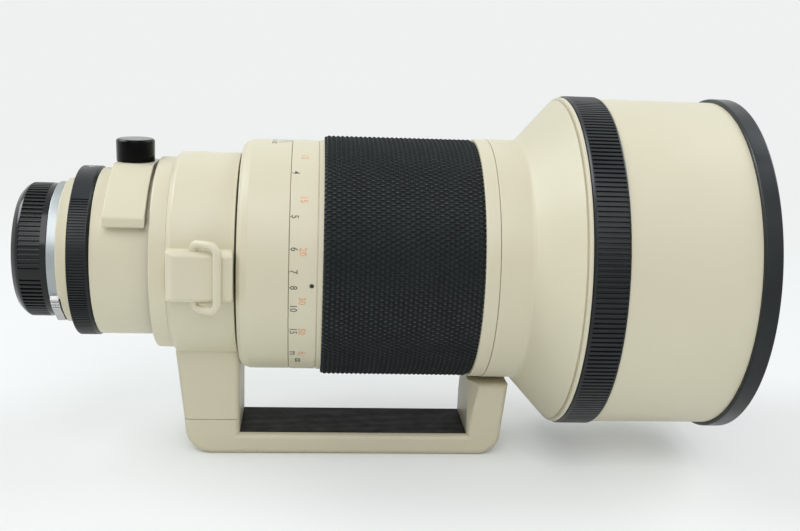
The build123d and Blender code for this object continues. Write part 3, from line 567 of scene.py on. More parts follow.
def mount_screws():
    """Four crosshead screws, just below the face of the mount ring."""
    front = ends("mount_screws")[1]
    face, head_end, head_r, shank_r = 0.1, 1.5, 1.95, 1.0
    slot_long, slot_thin, slot_floor = 1.1, 0.28, 0.75
    corners = [(face, 0), (face, head_r, 0.2), (head_end, head_r), (head_end, shank_r)]
    corners += [(front, shank_r), (front, 0)]
    screws = []
    for place in MOUNT_SCREW_PLACES:
        slots = []
        for y_half, z_half in ((slot_long, slot_thin), (slot_thin, slot_long)):
            low = place + Vector((-1, -y_half, -z_half))
            slots.append(block(low, place + Vector((slot_floor, y_half, z_half))))
        screws.append(cut_with(spun("screw", corners, place, X_AXIS, 32), slots))
    stand_for("mount_screws", joined("mount_screws", screws))


def mount_parts():
    back, front = 0.0, ends("mount_flange")[1]
    flange_r, throat, spigot = 28.5, 19.5, 22.0
    tab_r, tab_floor, tab_back, tab_front, tab_sweep = 23.8, 21.5, -5.2, -3.4, 52
    corners = [
        (tab_back, throat, 0.1), (tab_back, spigot, 0.2), (back, spigot, 0.1),
        (back, flange_r, 0.25), (front, flange_r, 0.15), (front, throat, 0.1),
    ]
    tabs = []
    for tab in range(3):
        start = 120 * tab - tab_sweep / 2
        outline = arc((0, 0), tab_r, start, start + tab_sweep, 24)
        outline += arc((0, 0), tab_floor, start + tab_sweep, start, 24)
        tabs.append(mesh_of("tab", *prism(outline, tab_back, tab_front, across_axis)))
    flange = cut_with(turned("mount_flange", corners), mount_holes())
    stand_for("mount_flange", joined("mount_flange", [flange, *tabs]))

    back, front = ends("rear_ring")
    outer, bore = reach("rear_ring"), 22.5
    corners = [(back, bore), (back, outer, 0.5), (front, outer, 0.15), (front, bore)]
    ring("rear_ring", corners, cutters=mount_holes())


# Aperture ring, ribbed apart from the arc with its numbers
APERTURE_RIBS = 184
APERTURE_PLAIN = (48.0, 156.0)


def aperture_ring():
    back, front = ends("aperture_ring")
    back, front = back + 0.3, front - 0.3
    outer, bore = reach("aperture_ring"), 33.05
    ring("aperture_ring", [
        (back, bore), (back, outer - 0.15, 0.1), (back + 0.3, outer), (back + 0.35, outer, 0, 1),
        (front - 1.25, outer, 0, 1), (front - 1.2, outer), (front - 0.95, outer, 0.1),
        (front, outer - 0.95, 0.2), (front, bore),
    ], ribs(APERTURE_RIBS, 0.45, 0.5, 0.1, APERTURE_PLAIN))


# Barrels
def rear_barrel():
    back, front = ends("rear_barrel")
    outer = reach("rear_barrel")
    step = ends("aperture_ring")[1] - 0.15
    throat, bore, step_r, wall = 24.0, 31.0, 33.0, 2
    slot_back, slot_front, slot_half, slot_floor, slot_top = 26.8, 36.2, 26.7, 14.4, 50
    corners = [
        (back, throat), (back, step_r), (step, step_r), (step, outer, 0.4), (front, outer, 0.1),
        (front, bore), (back + wall, bore), (back + wall, throat),
    ]
    slot = block((slot_back, -slot_half, slot_floor), (slot_front, slot_half, slot_top))
    ring("rear_barrel", corners, cutters=[slot, *mount_screw_holes()])


def collar_retainer():
    back, front = ends("collar_retainer")
    outer, bore = reach("collar_retainer"), 38.5
    front += 0.1
    corners = [(back, bore), (back, outer - 0.3, 0.9), (front, outer - 0.2), (front, bore)]
    ring("collar_retainer", corners)


COLLAR_BORE = 38.45
SCALE_BACK = 95.4


def main_barrel():
    back, front = ends("main_barrel")
    full = back + 3.4
    seam = SCALE_BACK - 0.15
    outer, tube_r, tube_bore, throat = reach("main_barrel"), 44.95, 42.9, 33.0
    web_back, web_front, taper_front = back + 8, back + 10, back + 16
    slot_back, slot_front, slot_half, beyond = 126.8, 150.8, 2.1, 60
    corners = [
        (back - 0.7, COLLAR_BORE), (back - 0.7, outer - 2.7, 0.3), (back + 0.8, outer - 0.9, 0.4),
        (full, outer, 0.4), (seam - 0.25, outer, 0.1), (seam, outer - 0.25, 0.1), (seam, tube_r),
        (front, tube_r), (front, tube_bore), (taper_front, tube_bore), (web_front, throat),
        (web_back, throat), (web_back, COLLAR_BORE),
    ]
    key_slots = block((slot_back, -slot_half, -beyond), (slot_front, slot_half, beyond))
    ring("main_barrel", corners, cutters=[key_slots])


GRIP_ENDS = (108.4, 171.0)
SCALE_SCREW_X = 104.2
SCALE_SCREW_OUT = outward(-2)


def scale_screw():
    """Grub screw with a hexagonal socket that ties the scale band to the sleeve."""
    low, top, radius = 46.0, 48.25, 0.85
    corners = [(low, 0), (low, radius), (top, radius, 0.12), (top, 0)]
    screw = spun("scale_screw", corners, (SCALE_SCREW_X, 0, 0), SCALE_SCREW_OUT, 32)
    socket = rod(top - 1.0, top + 1, 0.5, (SCALE_SCREW_X, 0, 0), SCALE_SCREW_OUT, 6)
    # Dark blade steel in place of its slot's steel: the dark colour is painted shade for the hole the
    # screw sits in.
    stand_for("scale_screw", cut_with(screw, [socket]), "blade_steel")


def focus_sleeve():
    back, front = SCALE_BACK, ends("focus_sleeve")[1]
    grip_back, grip_front = GRIP_ENDS
    bore, relief, relief_back, relief_front = 45.0, 46.6, grip_back + 16, grip_back + 44
    scale_r, groove_floor, behind_grip, grip_seat = 48.4, 47.95, 48.55, 48.0
    hole_from, hole_to, hole_r = 45.9, 50, 0.92
    band_r = reach("focus_sleeve")
    groove = grip_back - 2.1
    corners = [
        (back, bore), (back, scale_r - 0.25, 0.1), (back + 0.25, scale_r, 0.1),
        (groove - 0.25, scale_r, 0.05), (groove - 0.2, groove_floor), (groove + 0.2, groove_floor),
        (groove + 0.25, behind_grip, 0.05), (grip_back, behind_grip, 0.05), (grip_back, grip_seat),
        (grip_front, grip_seat), (grip_front, band_r - 0.2, 0.2), (grip_front + 0.5, band_r, 0.4),
        (front - 0.2, band_r, 0.1), (front, band_r - 0.2, 0.1), (front, bore),
        (relief_front, bore), (relief_front, relief), (relief_back, relief),
        (relief_back, bore),
    ]
    hole = rod(hole_from, hole_to, hole_r, (SCALE_SCREW_X, 0, 0), SCALE_SCREW_OUT, 32)
    ring("focus_sleeve", corners, cutters=[hole])


# Rubber grip: a staggered lattice of flat-topped diamonds
GRIP_RINGS = 33
GRIP_BUMPS = 151
GRIP_SAMPLES = 6
GRIP_BORE = 48.05


def grip_height(across, along):
    """Height from 0 to 1 of a diamond lattice with peaks at whole and half numbers."""
    lift = 1.0
    foot, slope = 0.36, 0.26
    for line in (across + along, across - along):
        lift = min(lift, (foot - abs(line - round(line))) / slope)
    return max(0.0, lift)


def focus_grip():
    back, front = GRIP_ENDS
    outer = reach("focus_grip") + 0.4
    depth, rounding = 0.95, 0.9
    pitch = 2 * (front - back) / GRIP_RINGS
    rows = GRIP_RINGS * GRIP_SAMPLES // 2
    columns = GRIP_BUMPS * GRIP_SAMPLES
    points = []
    for row in range(rows + 1):
        station = back + (front - back) * row / rows
        near_end = min(station - back, 0.45 * (front - station))
        shoulder = rounding * max(0.0, 1 - near_end / rounding) ** 2
        for column in range(columns):
            height = grip_height((station - back) / pitch, column / GRIP_SAMPLES)
            radius = outer - shoulder - depth * (1 - height)
            points.append(around(station, radius, tau * column / columns))
    for station in (front, back):
        points += [around(station, GRIP_BORE, tau * column / columns) for column in range(columns)]
    faces = []
    for row in range(rows + 3):
        faces += band(row * columns, (row + 1) % (rows + 3) * columns, columns)
    stand_for("focus_grip", mesh_of("focus_grip", points, faces, 60))


def front_barrel():
    back, front = ends("front_barrel")
    cone_back, cone_front, groove_front, lip_front = 190.0, 205.7, 206.3, 207.9
    lip_r = reach("front_barrel")
    band_r, cone_r, tube_r, bore = 51.0, 68.5, 66.4, 64.6
    cell_back, cell_front, cell_seat, throat = 183.0, 195.5, 47.55, 42.9
    flare_front, flare_bore = 206.4, 52.6
    ring("front_barrel", [
        (back, throat), (back, band_r - 0.2, 0.1), (back + 0.2, band_r, 0.1),
        (cone_back, band_r, 1.2), (cone_front, cone_r - 0.2, 0.15),
        (cone_front + 0.2, cone_r - 1.0, 0.1), (groove_front, cone_r - 1.0, 0.1),
        (groove_front + 0.2, lip_r - 0.5, 0.3), (groove_front + 0.5, lip_r, 0.4),
        (lip_front, lip_r, 0.2), (lip_front, tube_r), (front, tube_r, 0.2), (front, bore),
        (flare_front, bore), (cell_front, flare_bore), (cell_front, cell_seat), (cell_back, cell_seat),
        (cell_back, throat),
    ])


# Hood
HOOD_RIBS = 220
HOOD_BORE, HOOD_SLIDE = 67.4, 66.45


def hood_lock_ring():
    back, front = ends("hood_lock_ring")
    back, front = back - 0.3, front + 0.2
    outer, bore = reach("hood_lock_ring"), 68.35
    ring("hood_lock_ring", [
        (back, bore), (back, outer - 0.7, 0.05), (back + 0.7, outer - 0.1, 0.1),
        (back + 1.0, outer), (back + 1.05, outer, 0, 1), (front - 0.65, outer, 0, 1),
        (front - 0.6, outer), (front, outer - 0.2, 0.1), (front, bore),
    ], ribs(HOOD_RIBS, 0.65, 0.52, 0.12))


def hood_shell():
    back, front = ends("hood_shell")
    outer = reach("hood_shell")
    lock_front, lock_seat = ends("hood_lock_ring")[1] + 0.3, 68.3
    ring("hood_shell", [
        (back, HOOD_SLIDE, 0.1), (back, lock_seat, 0.1), (lock_front, lock_seat),
        (lock_front, outer, 0.35), (front, outer, 0.15), (front, HOOD_BORE),
        (back + 6, HOOD_BORE, 0.3), (back + 6, HOOD_SLIDE, 0.3),
    ])


def hood_rim():
    back, front = ends("hood_rim")
    outer = reach("hood_rim")
    ring("hood_rim", [
        (back, HOOD_BORE), (back, outer - 0.5, 0.2), (back + 0.5, outer, 0.2),
        (front - 0.4, outer, 0.3), (front, outer - 0.4, 0.3), (front, HOOD_BORE + 0.6, 0.3),
        (front - 0.6, HOOD_BORE, 0.3),
    ])


# Front cell and glass
def front_cell():
    back, front = ends("front_cell")
    outer, flange_r, flange_back = 64.55, 67.1, front - 1.8
    first_seat, second_seat, third_seat, throat = 62.55, 61.05, 60.05, 57.0
    first_step, second_step, third_step = 252.0, 235.0, 224.0
    corners = [(back, throat), (back, outer), (flange_back, outer), (flange_back, flange_r, 0.2)]
    corners += [(front, flange_r, 0.3), (front, first_seat, 0.3)]
    corners += [(first_step, first_seat), (first_step, second_seat), (second_step, second_seat)]
    corners += [(second_step, third_seat), (third_step, third_seat), (third_step, throat)]
    ring("front_cell", corners)
    low, high = ends("front_ring")
    outer, back_bore, front_bore = 62.5, 60.2, 61.7
    corners = [(low, back_bore, 0.2), (low, outer), (high, outer, 0.1), (high, front_bore, 0.2)]
    ring("front_ring", corners)


def lens_face(edge, half, radius, steps=24):
    """Points from the axis to the edge of a spherical face, flat where radius is 0."""
    found = []
    for step in range(steps + 1):
        high = half * step / steps
        bulge = 0
        if radius:
            depth = abs(radius) - sqrt(radius * radius - half * half)
            here = abs(radius) - sqrt(radius * radius - high * high)
            bulge = (depth - here) * (1 if radius > 0 else -1)
        found.append((edge, bulge, high))
    return found


def lens(node, back_radius, front_radius):
    """Polished element; a positive radius bulges outwards and a negative one is hollow."""
    half = reach(node)
    back, front = ends(node)
    back += max(0, lens_face(back, half, back_radius)[0][1])
    front -= max(0, lens_face(front, half, front_radius)[0][1])
    corners = [(edge - bulge, high) for edge, bulge, high in lens_face(back, half, back_radius)]
    forward = lens_face(front, half, front_radius)
    corners += [(edge + bulge, high) for edge, bulge, high in reversed(forward)]
    stand_for(node, turned(node, corners, sharp=25))


def lenses():
    faces = {
        "lens_1": (900, 230), "lens_2": (0, 300), "lens_3": (0, -300), "lens_4": (0, -250),
        "lens_5": (250, 0), "lens_6": (-120, -180), "lens_7": (180, 0), "lens_8": (0, 80),
        "lens_9": (0, 100),
    }
    for node, radii in faces.items():
        lens(node, *radii)


# Two push buttons: ribbed pads with curved tops, on stems
def push_button(node, angle):
    half, floor, top = 8.3, 26.25, 30.4
    groove = ((0.45, 0), (0.35, 0.45), (-0.35, 0.45), (-0.45, 0))
    out, along = outward(angle), outward(angle + 90)
    heights = [(half, 0)]
    for middle in (6.6, 5.2, 3.8):
        heights += [(middle + off, depth) for off, depth in groove]
    heights.append((-half, 0))
    outline = [(-half, floor), (half, floor)]
    outline += [(across, sqrt(top * top - across * across) - depth) for across, depth in heights]

    def placed(u, v, station):
        return out * v + along * u + Vector((station, 0, 0))

    def on_top(one, two):
        return min(one.dot(out), two.dot(out)) > floor + 1 and abs(one.x - two.x) < 0.01

    pad = bevelled(node, *prism(outline, 0.6, 4.0, placed), [(on_top, 0.18, 2)])
    stem = rod(20.8, floor + 0.5, 1.1, (BUTTON_STEM_X, 0, 0), out, 24)
    stand_for(node, joined(node, [pad, stem]))


# Filter drawer and the knob that locks it
def through_three(first, middle, last, steps):
    """Arc through three flat points."""
    (ax, ay), (bx, by), (cx, cy) = first, middle, last
    scale = 2 * (ax * (by - cy) + bx * (cy - ay) + cx * (ay - by))
    squares = [ax * ax + ay * ay, bx * bx + by * by, cx * cx + cy * cy]
    x = (squares[0] * (by - cy) + squares[1] * (cy - ay) + squares[2] * (ay - by)) / scale
    y = (squares[0] * (cx - bx) + squares[1] * (ax - cx) + squares[2] * (bx - ax)) / scale
    centre = Vector((x, y))
    start, end = Vector(first) - centre, Vector(last) - centre
    sweep = start.angle_signed(end)
    found = []
    for step in range(steps + 1):
        turn = Matrix.Rotation(-sweep * step / steps, 2)
        found.append(tuple(centre + turn @ start))
    return found


DRAWER_KNOB_X = 30.9


def filter_drawer():
    back, front = ends("filter_drawer")
    half, fold, bottom, flat, top, inner = 35.5, 20.9, 16.7, 9.0, 38.0, 35.0
    middle = (top * cos(radians(55.2)), top * sin(radians(55.2)))
    roof = through_three((half, fold), middle, (flat, top), 20)
    outline = [(half, bottom), *roof]
    outline += [(-across, high) for across, high in reversed(outline)]
    end = degrees(asin(bottom / inner))
    outline += arc((0, 0), inner, 180 - end, end, 64)

    def outside(point):
        return sqrt(point.y ** 2 + point.z ** 2) > inner + 0.2

    def at_end(one, two):
        return outside(one) and outside(two) and abs(one.x - two.x) < 0.01

    def at_fold(one, two):
        return outside(one) and abs(one.z - two.z) < 0.01 and one.z < fold + 0.1

    solid = prism(outline, back, front - 0.3, across_axis)
    saddle = bevelled("saddle", *solid, [(at_fold, 1.6, 5), (at_end, 0.45, 3)])
    stem_hole = rod(28, 40, 2.65, (DRAWER_KNOB_X, 0, 0), Z_AXIS, 32)
    shapes = [cut_with(saddle, [stem_hole]), filter_plate(stem_hole)]
    stand_for("filter_drawer", joined("filter_drawer", shapes))


def filter_plate(stem_hole):
    """Plate of the drawer, with the filter's seat and its opening."""
    half, back, front, trim, filter_r, opening_r = 26.5, 27.0, 36.0, 37.7, 23.0, 21.0
    corner = degrees(asin(sqrt(trim * trim - half * half) / trim))
    outline = arc((0, 0), trim, corner, 180 - corner, 32) + arc((0, 0), half, 180, 360, 64)
    plate = mesh_of("plate", *prism(outline, back, front, across_axis))
    middle = (0, 0, 0)
    seat = rod(back - 1, front - 2, filter_r, middle, X_AXIS, 128)
    opening = rod(back, front + 1, opening_r, middle, X_AXIS, 128)
    return cut_with(plate, [seat, opening, stem_hole])


def filter_knob():
    low, high = [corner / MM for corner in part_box("filter_knob")]
    radius, floor, stem_r = high.y, 38.15, 2.5
    top = high.z + 0.35
    corners = [
        (low.z, 0), (low.z, stem_r), (floor, stem_r), (floor, radius + 0.1, 0.3),
        (top - 0.7, radius + 0.2, 0.3), (top, radius - 0.5, 0.2), (top, 0),
    ]
    knob = spun("filter_knob", corners, (DRAWER_KNOB_X, 0, 0), Z_AXIS, 128)
    stand_for("filter_knob", knob, "knob_gloss")


# Tripod collar, its post and lock, and the foot
SEAM = -68.6
SEAM_GAP = 0.08
FOOT_TOP = -75.0
FOOT_OPENING = (74.9, 172.2)
FOOT_SCREWS = [(63.0, y) for y in (-9, 9)]
FOOT_SOCKETS = ((140.0, 4.7625, 1.5875), (112.0, 3.175, 1.27))
POST_HALF = 17.0
POST_EDGE = 2.6
LOCK_PLACE = (61.0, 0, 0)
LOCK_OUT = outward(220)


def along_seam(one, two):
    return abs(one.z - SEAM) < 0.2 and abs(two.z - SEAM) < 0.2


def along_side(one, two):
    """Whether an edge runs along one side of the post or the foot, other than at its seam."""
    same_side = one.y * two.y > 0 and min(abs(one.y), abs(two.y)) > POST_HALF - 0.01
    return same_side and not along_seam(one, two)


def collar_ring():
    back, front = ends("collar_ring")
    outer = 42.3
    corners = [
        (back, COLLAR_BORE), (back, outer - 2.1), (back + 1.9, outer, 0.8),
        (front - 0.95, outer, 0.15), (front - 0.8, outer - 0.15), (front - 0.8, COLLAR_BORE),
    ]
    bearing = rod(back - 5, front + 5, COLLAR_BORE, (0, 0, 0), X_AXIS, TURN_STEPS)
    post_back, post_low, post_top, seam = 48.3, 51.6, -34.0, SEAM + SEAM_GAP
    outline = [(post_back, post_top), (post_back, -39.9), (post_low, seam)]
    outline += [(front, seam), (front, post_top)]
    post = prism(outline, -POST_HALF, POST_HALF, across_view)
    post = bevelled("post", *post, [(along_side, POST_EDGE, 5), (along_seam, 0.2, 2)])
    shapes = [cut_with(post, [bearing])]
    seat_back, seat_front, seat_half = 48.6, 73.6, 10.3
    for left, right in ((-44.0, -36.0), (36.0, 44.0)):
        seat = block((seat_back, left, -seat_half), (seat_front, right, seat_half))
        shapes.append(cut_with(seat, [bearing]))
    boss_floor, boss_top, boss_r, lock_hole_r = 30, 45.5, 8.0, 3.2
    outline = [(boss_floor, 0), (boss_floor, boss_r), (boss_top, boss_r, 0.5), (boss_top, 0)]
    boss = spun("boss", outline, LOCK_PLACE, LOCK_OUT)
    shapes.append(cut_with(boss, [bearing, rod(25, 50, lock_hole_r, LOCK_PLACE, LOCK_OUT, 32)]))
    stand_for("collar_ring", joined("collar_ring", [turned("collar", corners), *shapes]))


def collar_lock_knob():
    stem_end, stem_r, floor, top, outer = 38.6, 3.0, 45.65, 58.65, 9.0
    scallop_r, scallop_at, scallop_step = 2.8, 10.6, 60
    cuts = []
    for angle, _ in evenly(192):
        off = radians((angle + scallop_step / 2) % scallop_step - scallop_step / 2)
        chord = scallop_r ** 2 - (scallop_at * sin(off)) ** 2
        depth = max(0, outer - scallop_at * cos(off) + sqrt(chord)) if chord > 0 else 0
        cuts.append((angle, depth))
    corners = [
        (stem_end, 0), (stem_end, stem_r), (floor, stem_r), (floor, outer, 0.4, 1),
        (top, outer, 1.0, 1), (top, 6.4, 0.2), (top - 0.5, 6.0, 0.2), (top - 0.5, 0),
    ]
    knob = aimed(turned("collar_lock_knob", corners, cuts), LOCK_PLACE, LOCK_OUT)
    stand_for("collar_lock_knob", knob)


def threaded(x, radius, pitch, depth=6.0):
    """Cutter for a threaded hole that opens downwards, from its station, radius and pitch."""
    mouth, relief = 0.4, 0.45
    corners = [(-1, 0), (-1, radius + 1.4), (mouth, radius)]
    station = mouth
    while station < depth - pitch:
        corners += [(station + pitch / 2, radius - relief), (station + pitch, radius)]
        station += pitch
    corners += [(depth, radius), (depth, 0)]
    place = (x, 0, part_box("foot_bar")[0].z / MM)
    return spun("thread", corners, place, Z_AXIS)


def post_facets(front, floor, top):
    """Cutters for the inner corners of the front post, wider towards the top."""
    inset, width, beyond = 10.5, 4.6, 0.01
    front -= beyond
    cutters = []
    for side in (-1, 1):
        edge = side * (POST_HALF + beyond)
        apex, above = (front, edge, floor), (front, edge, top)
        points = [apex, above, (front, side * inset, top), (front + beyond + width, edge, top)]
        cutters.append(mesh_of("wedge", points, [(0, 1, 2), (0, 2, 3), (0, 3, 1), (1, 3, 2)]))
    return cutters


def foot_bar():
    bottom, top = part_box("foot_bar")[0].z / MM, -51.7
    bar_top, back, front = FOOT_TOP, *FOOT_OPENING
    seam = SEAM - SEAM_GAP
    rear, rear_low = (51.6, seam), (53.1, bottom)
    front_low, front_top = (186.2, bottom), (189.3, top)
    outline = [
        rear,
        *rounded_corner(rear, rear_low, front_low, 11, 12),
        *rounded_corner(rear_low, front_low, front_top, 9.5, 12),
        front_top, (front, top), (front, bar_top), (back, bar_top), (back, seam),
    ]

    def on_top(one, two):
        level = min(one.z, two.z) > top - 0.01
        return level and abs(one.x - two.x) < 0.01 and abs(one.y) < POST_HALF - 1

    rounds = [(along_side, POST_EDGE, 5), (on_top, 0.8, 3), (along_seam, 0.2, 2)]
    bar = bevelled("foot_bar", *prism(outline, -POST_HALF, POST_HALF, across_view), rounds)
    pad_low, pad_high = [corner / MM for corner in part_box("foot_pad")]
    gap = 0.06
    low = (back + 0.01, pad_low.y - gap, pad_low.z - 0.05)
    cutters = [block(low, (front - 0.01, pad_high.y + gap, bar_top + 5))]
    cutters += post_facets(front, bar_top + 1, top + 0.1)
    cutters += [threaded(*socket) for socket in FOOT_SOCKETS]
    sunk, head_r, shank_r = 5.05, 3.65, 2.15
    for x, y in FOOT_SCREWS:
        cutters.append(rod(-1, sunk, head_r, (x, y, bottom), Z_AXIS, 48))
        cutters.append(rod(4, 30, shank_r, (x, y, bottom), Z_AXIS, 32))
    stand_for("foot_bar", cut_with(bar, cutters))


def foot_pad():
    low, high = [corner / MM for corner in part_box("foot_pad")]
    half, floor, top = high.y, low.z, FOOT_TOP + 0.35
    count, depth, shoulder = 20, 0.55, 0.12
    pitch = 2 * half / count
    rib = ((0.0, depth), (0.16, shoulder), (0.3, 0), (0.62, 0), (0.76, shoulder), (0.92, depth))
    outline = [(half, floor)]
    for index in range(count):
        for share, drop in rib:
            across = half - (index + share) * pitch
            outline.append((across, top - drop))
    outline.append((-half, floor))
    pad = prism(outline, FOOT_OPENING[0] + 0.02, FOOT_OPENING[1] - 0.02, across_axis)
    stand_for("foot_pad", mesh_of("foot_pad", *pad, sharp=25), "pad_rubber")


def foot_screws():
    low, high = [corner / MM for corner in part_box("foot_screws")]
    length, head_r, head_end, shank_r, socket_r, socket_end = high.z - low.z, 3.5, 4, 2, 1.75, 2.2
    corners = [(0, 0), (0, head_r, 0.3), (head_end, head_r, 0.1), (head_end, shank_r)]
    corners += [(length, shank_r), (length, 0)]
    screws = []
    for x, y in FOOT_SCREWS:
        place = (x, y, low.z)
        socket = rod(-1, socket_end, socket_r, place, Z_AXIS, 6)
        screws.append(cut_with(spun("screw", corners, place, Z_AXIS), [socket]))
    stand_for("foot_screws", joined("foot_screws", screws))


# Strap lugs and loops
HINGE_X, HINGE_Y, HINGE_Z = 59.3, 46.5, 1.0


def strap_lug(node, side):
    """Block with its back, upper and lower edges sloped, and a hole in each end."""
    seat, slope, face, half, middle = 44.0, 48.0, 50.2, 10.05, HINGE_Z - 0.05
    back, front = ends(node)
    back, front = back + 0.3, front + 0.4
    points = []
    for level, inset, pinch in ((seat, 0, 0), (slope, 0, 0), (face, 2.9, 1.5)):
        left, low, high = back + inset, middle + pinch - half, middle - pinch + half
        for x, z in ((left, low), (front, low), (front, high), (left, high)):
            points.append((x, side * level, z))
    faces = [(0, 1, 2, 3), (11, 10, 9, 8), *band(0, 4, 4), *band(4, 8, 4)]

    def showing(one, two):
        return max(abs(one.y), abs(two.y)) > seat + 0.1

    lug = bevelled(node, points, faces, [(showing, 0.8, 4)])
    hole_depth, hole_r = 4.5, 1.75
    holes = []
    for end in (-1, 1):
        place = (HINGE_X, side * HINGE_Y, middle + end * (half + 1))
        holes.append(rod(0, hole_depth, hole_r, place, (0, 0, -end), 32))
    stand_for(node, cut_with(lug, holes))


def tube(name, path, radius, normal, sides=20):
    """Round wire along a flat path, with closed ends."""
    points = []
    for index, here in enumerate(path):
        ahead = path[min(index + 1, len(path) - 1)] - path[max(index - 1, 0)]
        across = ahead.normalized().cross(normal)
        for side in range(sides):
            angle = tau * side / sides
            points.append(here + (normal * cos(angle) + across * sin(angle)) * radius)
    faces = [tuple(range(sides)), tuple(range(len(points) - 1, len(points) - sides - 1, -1))]
    for index in range(len(path) - 1):
        faces += band(index * sides, (index + 1) * sides, sides)
    return mesh_of(name, points, faces, 40)


def strap_loop(node, side):
    stub, half, out, lean, wire = 7.0, 12.7, 10.9, radians(31), 1.6
    reach_to = Vector((cos(lean), side * sin(lean), 0))
    corners = [(0, stub), (0, half), (out, half), (out, -half), (0, -half), (0, -stub)]
    flat = [corners[0]]
    for index, bend in ((1, 2.3), (2, 3.4), (3, 3.4), (4, 2.3)):
        flat += rounded_corner(corners[index - 1], corners[index], corners[index + 1], bend, 8)
    flat.append(corners[-1])
    hinge = Vector((HINGE_X, side * HINGE_Y, HINGE_Z))
    path = [hinge + reach_to * across + Vector((0, 0, up)) for across, up in flat]
    stand_for(node, tube(node, path, wire, reach_to.cross(Vector(Z_AXIS))))


# Engraved scales: flat marks laid on a cylinder about the axis. A mark is a list of points
# and faces; its x runs down the photographed side and its y runs forwards.
SQUEEZE = 0.85
TOP = 90


def lettering(text, size):
    """Flat mark of plain characters, centred."""
    curve = bpy.data.curves.new("characters", "FONT")
    curve.body = text
    curve.size = size
    curve.align_x = "CENTER"
    curve.align_y = "CENTER"
    curve.resolution_u = 3
    curve.offset = 0.006 * size
    thing = linked("characters", curve)
    bpy.context.view_layer.update()
    shaped = thing.evaluated_get(bpy.context.evaluated_depsgraph_get())
    mesh = bpy.data.meshes.new_from_object(shaped)
    points = [(vert.co.x * SQUEEZE, vert.co.y) for vert in mesh.vertices]
    faces = [tuple(face.vertices) for face in mesh.polygons]
    bpy.data.objects.remove(thing)
    bpy.data.meshes.remove(mesh)
    bpy.data.curves.remove(curve)
    return points, faces


def stroke(start, end, width):
    """Flat line between two points."""
    one, two = Vector(start), Vector(end)
    side = (two - one).orthogonal().normalized() * width / 2
    corners = (one - side, two - side, two + side, one + side)
    return [tuple(corner) for corner in corners], [(0, 1, 2, 3)]


def dot(radius):
    """Flat round mark of 24 sides."""
    return arc((0, 0), radius, 0, 345, 23), [tuple(range(24))]


def laid(name, marks, radius, body, material):
    """Piece of marks on a cylinder, each with the station and angle of its middle."""
    points, faces = [], []
    for (flat, shapes), station, angle in marks:
        first = len(points)
        faces += [tuple(first + index for index in shape) for shape in shapes]
        for across, ahead in flat:
            turn = radians(angle) - across / radius
            points.append(Vector(around(station + ahead, radius, turn)) * MM)
    mesh = bpy.data.meshes.new(name)
    mesh.from_pydata(points, [], faces)
    mesh.materials.append(material)
    thing = linked(name, mesh)
    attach(thing, body)


def distance_angle(metres):
    """Where a distance stands on the scale, closer together towards infinity."""
    infinity, spread, offset = -49.7, 341.5, 0.7
    return infinity + spread / (metres - offset)


def distance_scale():
    radius, size, unit_angle, far_angle, metres_in_foot = 48.43, 3.9, -42.3, -50.0, 0.3048
    metre_line, foot_line, middle_line = SCALE_BACK + 1.8, SCALE_BACK + 5.1, SCALE_BACK + 3.6
    dark, orange = [], []
    for metres in (3, 4, 5, 6, 7, 8, 10, 15):
        angle = distance_angle(metres)
        dark.append((lettering(str(metres), size), metre_line, angle))
        dark.append((stroke((0, -0.25), (0, 0.2), 0.25), SCALE_BACK + 0.3, angle))
    for feet in (10, 12, 15, 20, 30, 50):
        angle = distance_angle(feet * metres_in_foot)
        orange.append((lettering(str(feet), size), foot_line, angle))
    dark.append((lettering("m", 4.8), metre_line, unit_angle))
    orange.append((lettering("ft", 4.4), foot_line, unit_angle))
    dark.append((lettering("\u221e", 5.6), middle_line, far_angle))
    laid("distance_scale_metres", dark, radius, "focus_ring", DARK_INK)
    laid("distance_scale_feet", orange, radius, "focus_ring", ORANGE_INK)


def depth_scale():
    radius, line_ends, figures = 48.33, SCALE_BACK - 0.55, SCALE_BACK - 7.55
    marks = [(stroke((0, -3.6), (0, 0), 0.35), line_ends, TOP)]
    for stop, off in (("16", 3.6), ("22", 7.2)):
        for side in (-1, 1):
            line = stroke((side * -1.2, -5.2), (0, 0), 0.25)
            marks.append((line, line_ends, TOP + side * off * 0.6))
            marks.append((lettering(stop, 3.0), figures, TOP + side * off))
    laid("depth_scale", marks, radius, "barrel", DARK_INK)


def aperture_scale():
    back, front = ends("aperture_ring")
    stops, sweep = ("2.8", "4", "5.6", "8", "11", "16", "22"), 56
    ring_r, barrel_r, rear_r = 35.33, 34.73, 30.03
    marks = []
    for step, stop in enumerate(stops):
        angle = TOP + sweep * step / (len(stops) - 1)
        marks.append((lettering(stop, 3.4), (back + front) / 2 - 0.3, angle))
    laid("aperture_scale", marks, ring_r, "aperture_ring", WHITE_INK)
    index = [(stroke((0, -1.3), (0, 1.3), 0.4), front + 2.2, TOP)]
    laid("aperture_index", index, barrel_r, "barrel", DARK_INK)
    laid("mount_index", [(dot(0.9), 6.3, TOP)], rear_r, "barrel", RED_INK)


# The iris, the rear and focusing cells, the filter and the bearing keep their CAD solids
BEHIND = (rear_cap, mount_parts, mount_screws, aperture_ring, rear_barrel, collar_retainer)
MIDDLE = (main_barrel, focus_sleeve, focus_grip, front_barrel)
AHEAD = (hood_lock_ring, hood_shell, hood_rim, front_cell, lenses)
for make in (*BEHIND, *MIDDLE, *AHEAD):
    make()
for button, button_angle in BUTTON_ANGLES.items():
    push_button(button, button_angle)
for make in (filter_drawer, filter_knob, collar_ring, collar_lock_knob, foot_bar, foot_pad, foot_screws):
    make()
for ending, y_side in (("near", -1), ("far", 1)):
    strap_lug("strap_lug_" + ending, y_side)
    strap_loop("strap_loop_" + ending, y_side)
for make in (distance_scale, depth_scale, aperture_scale, scale_screw):
    make()


# Floor, light and camera
FLOOR_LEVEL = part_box("foot_bar")[0].z
BACKGROUND = (0.855, 0.879, 0.871)
FLOOR_GLOW = 0.55
FLOOR_HALF = 6.0


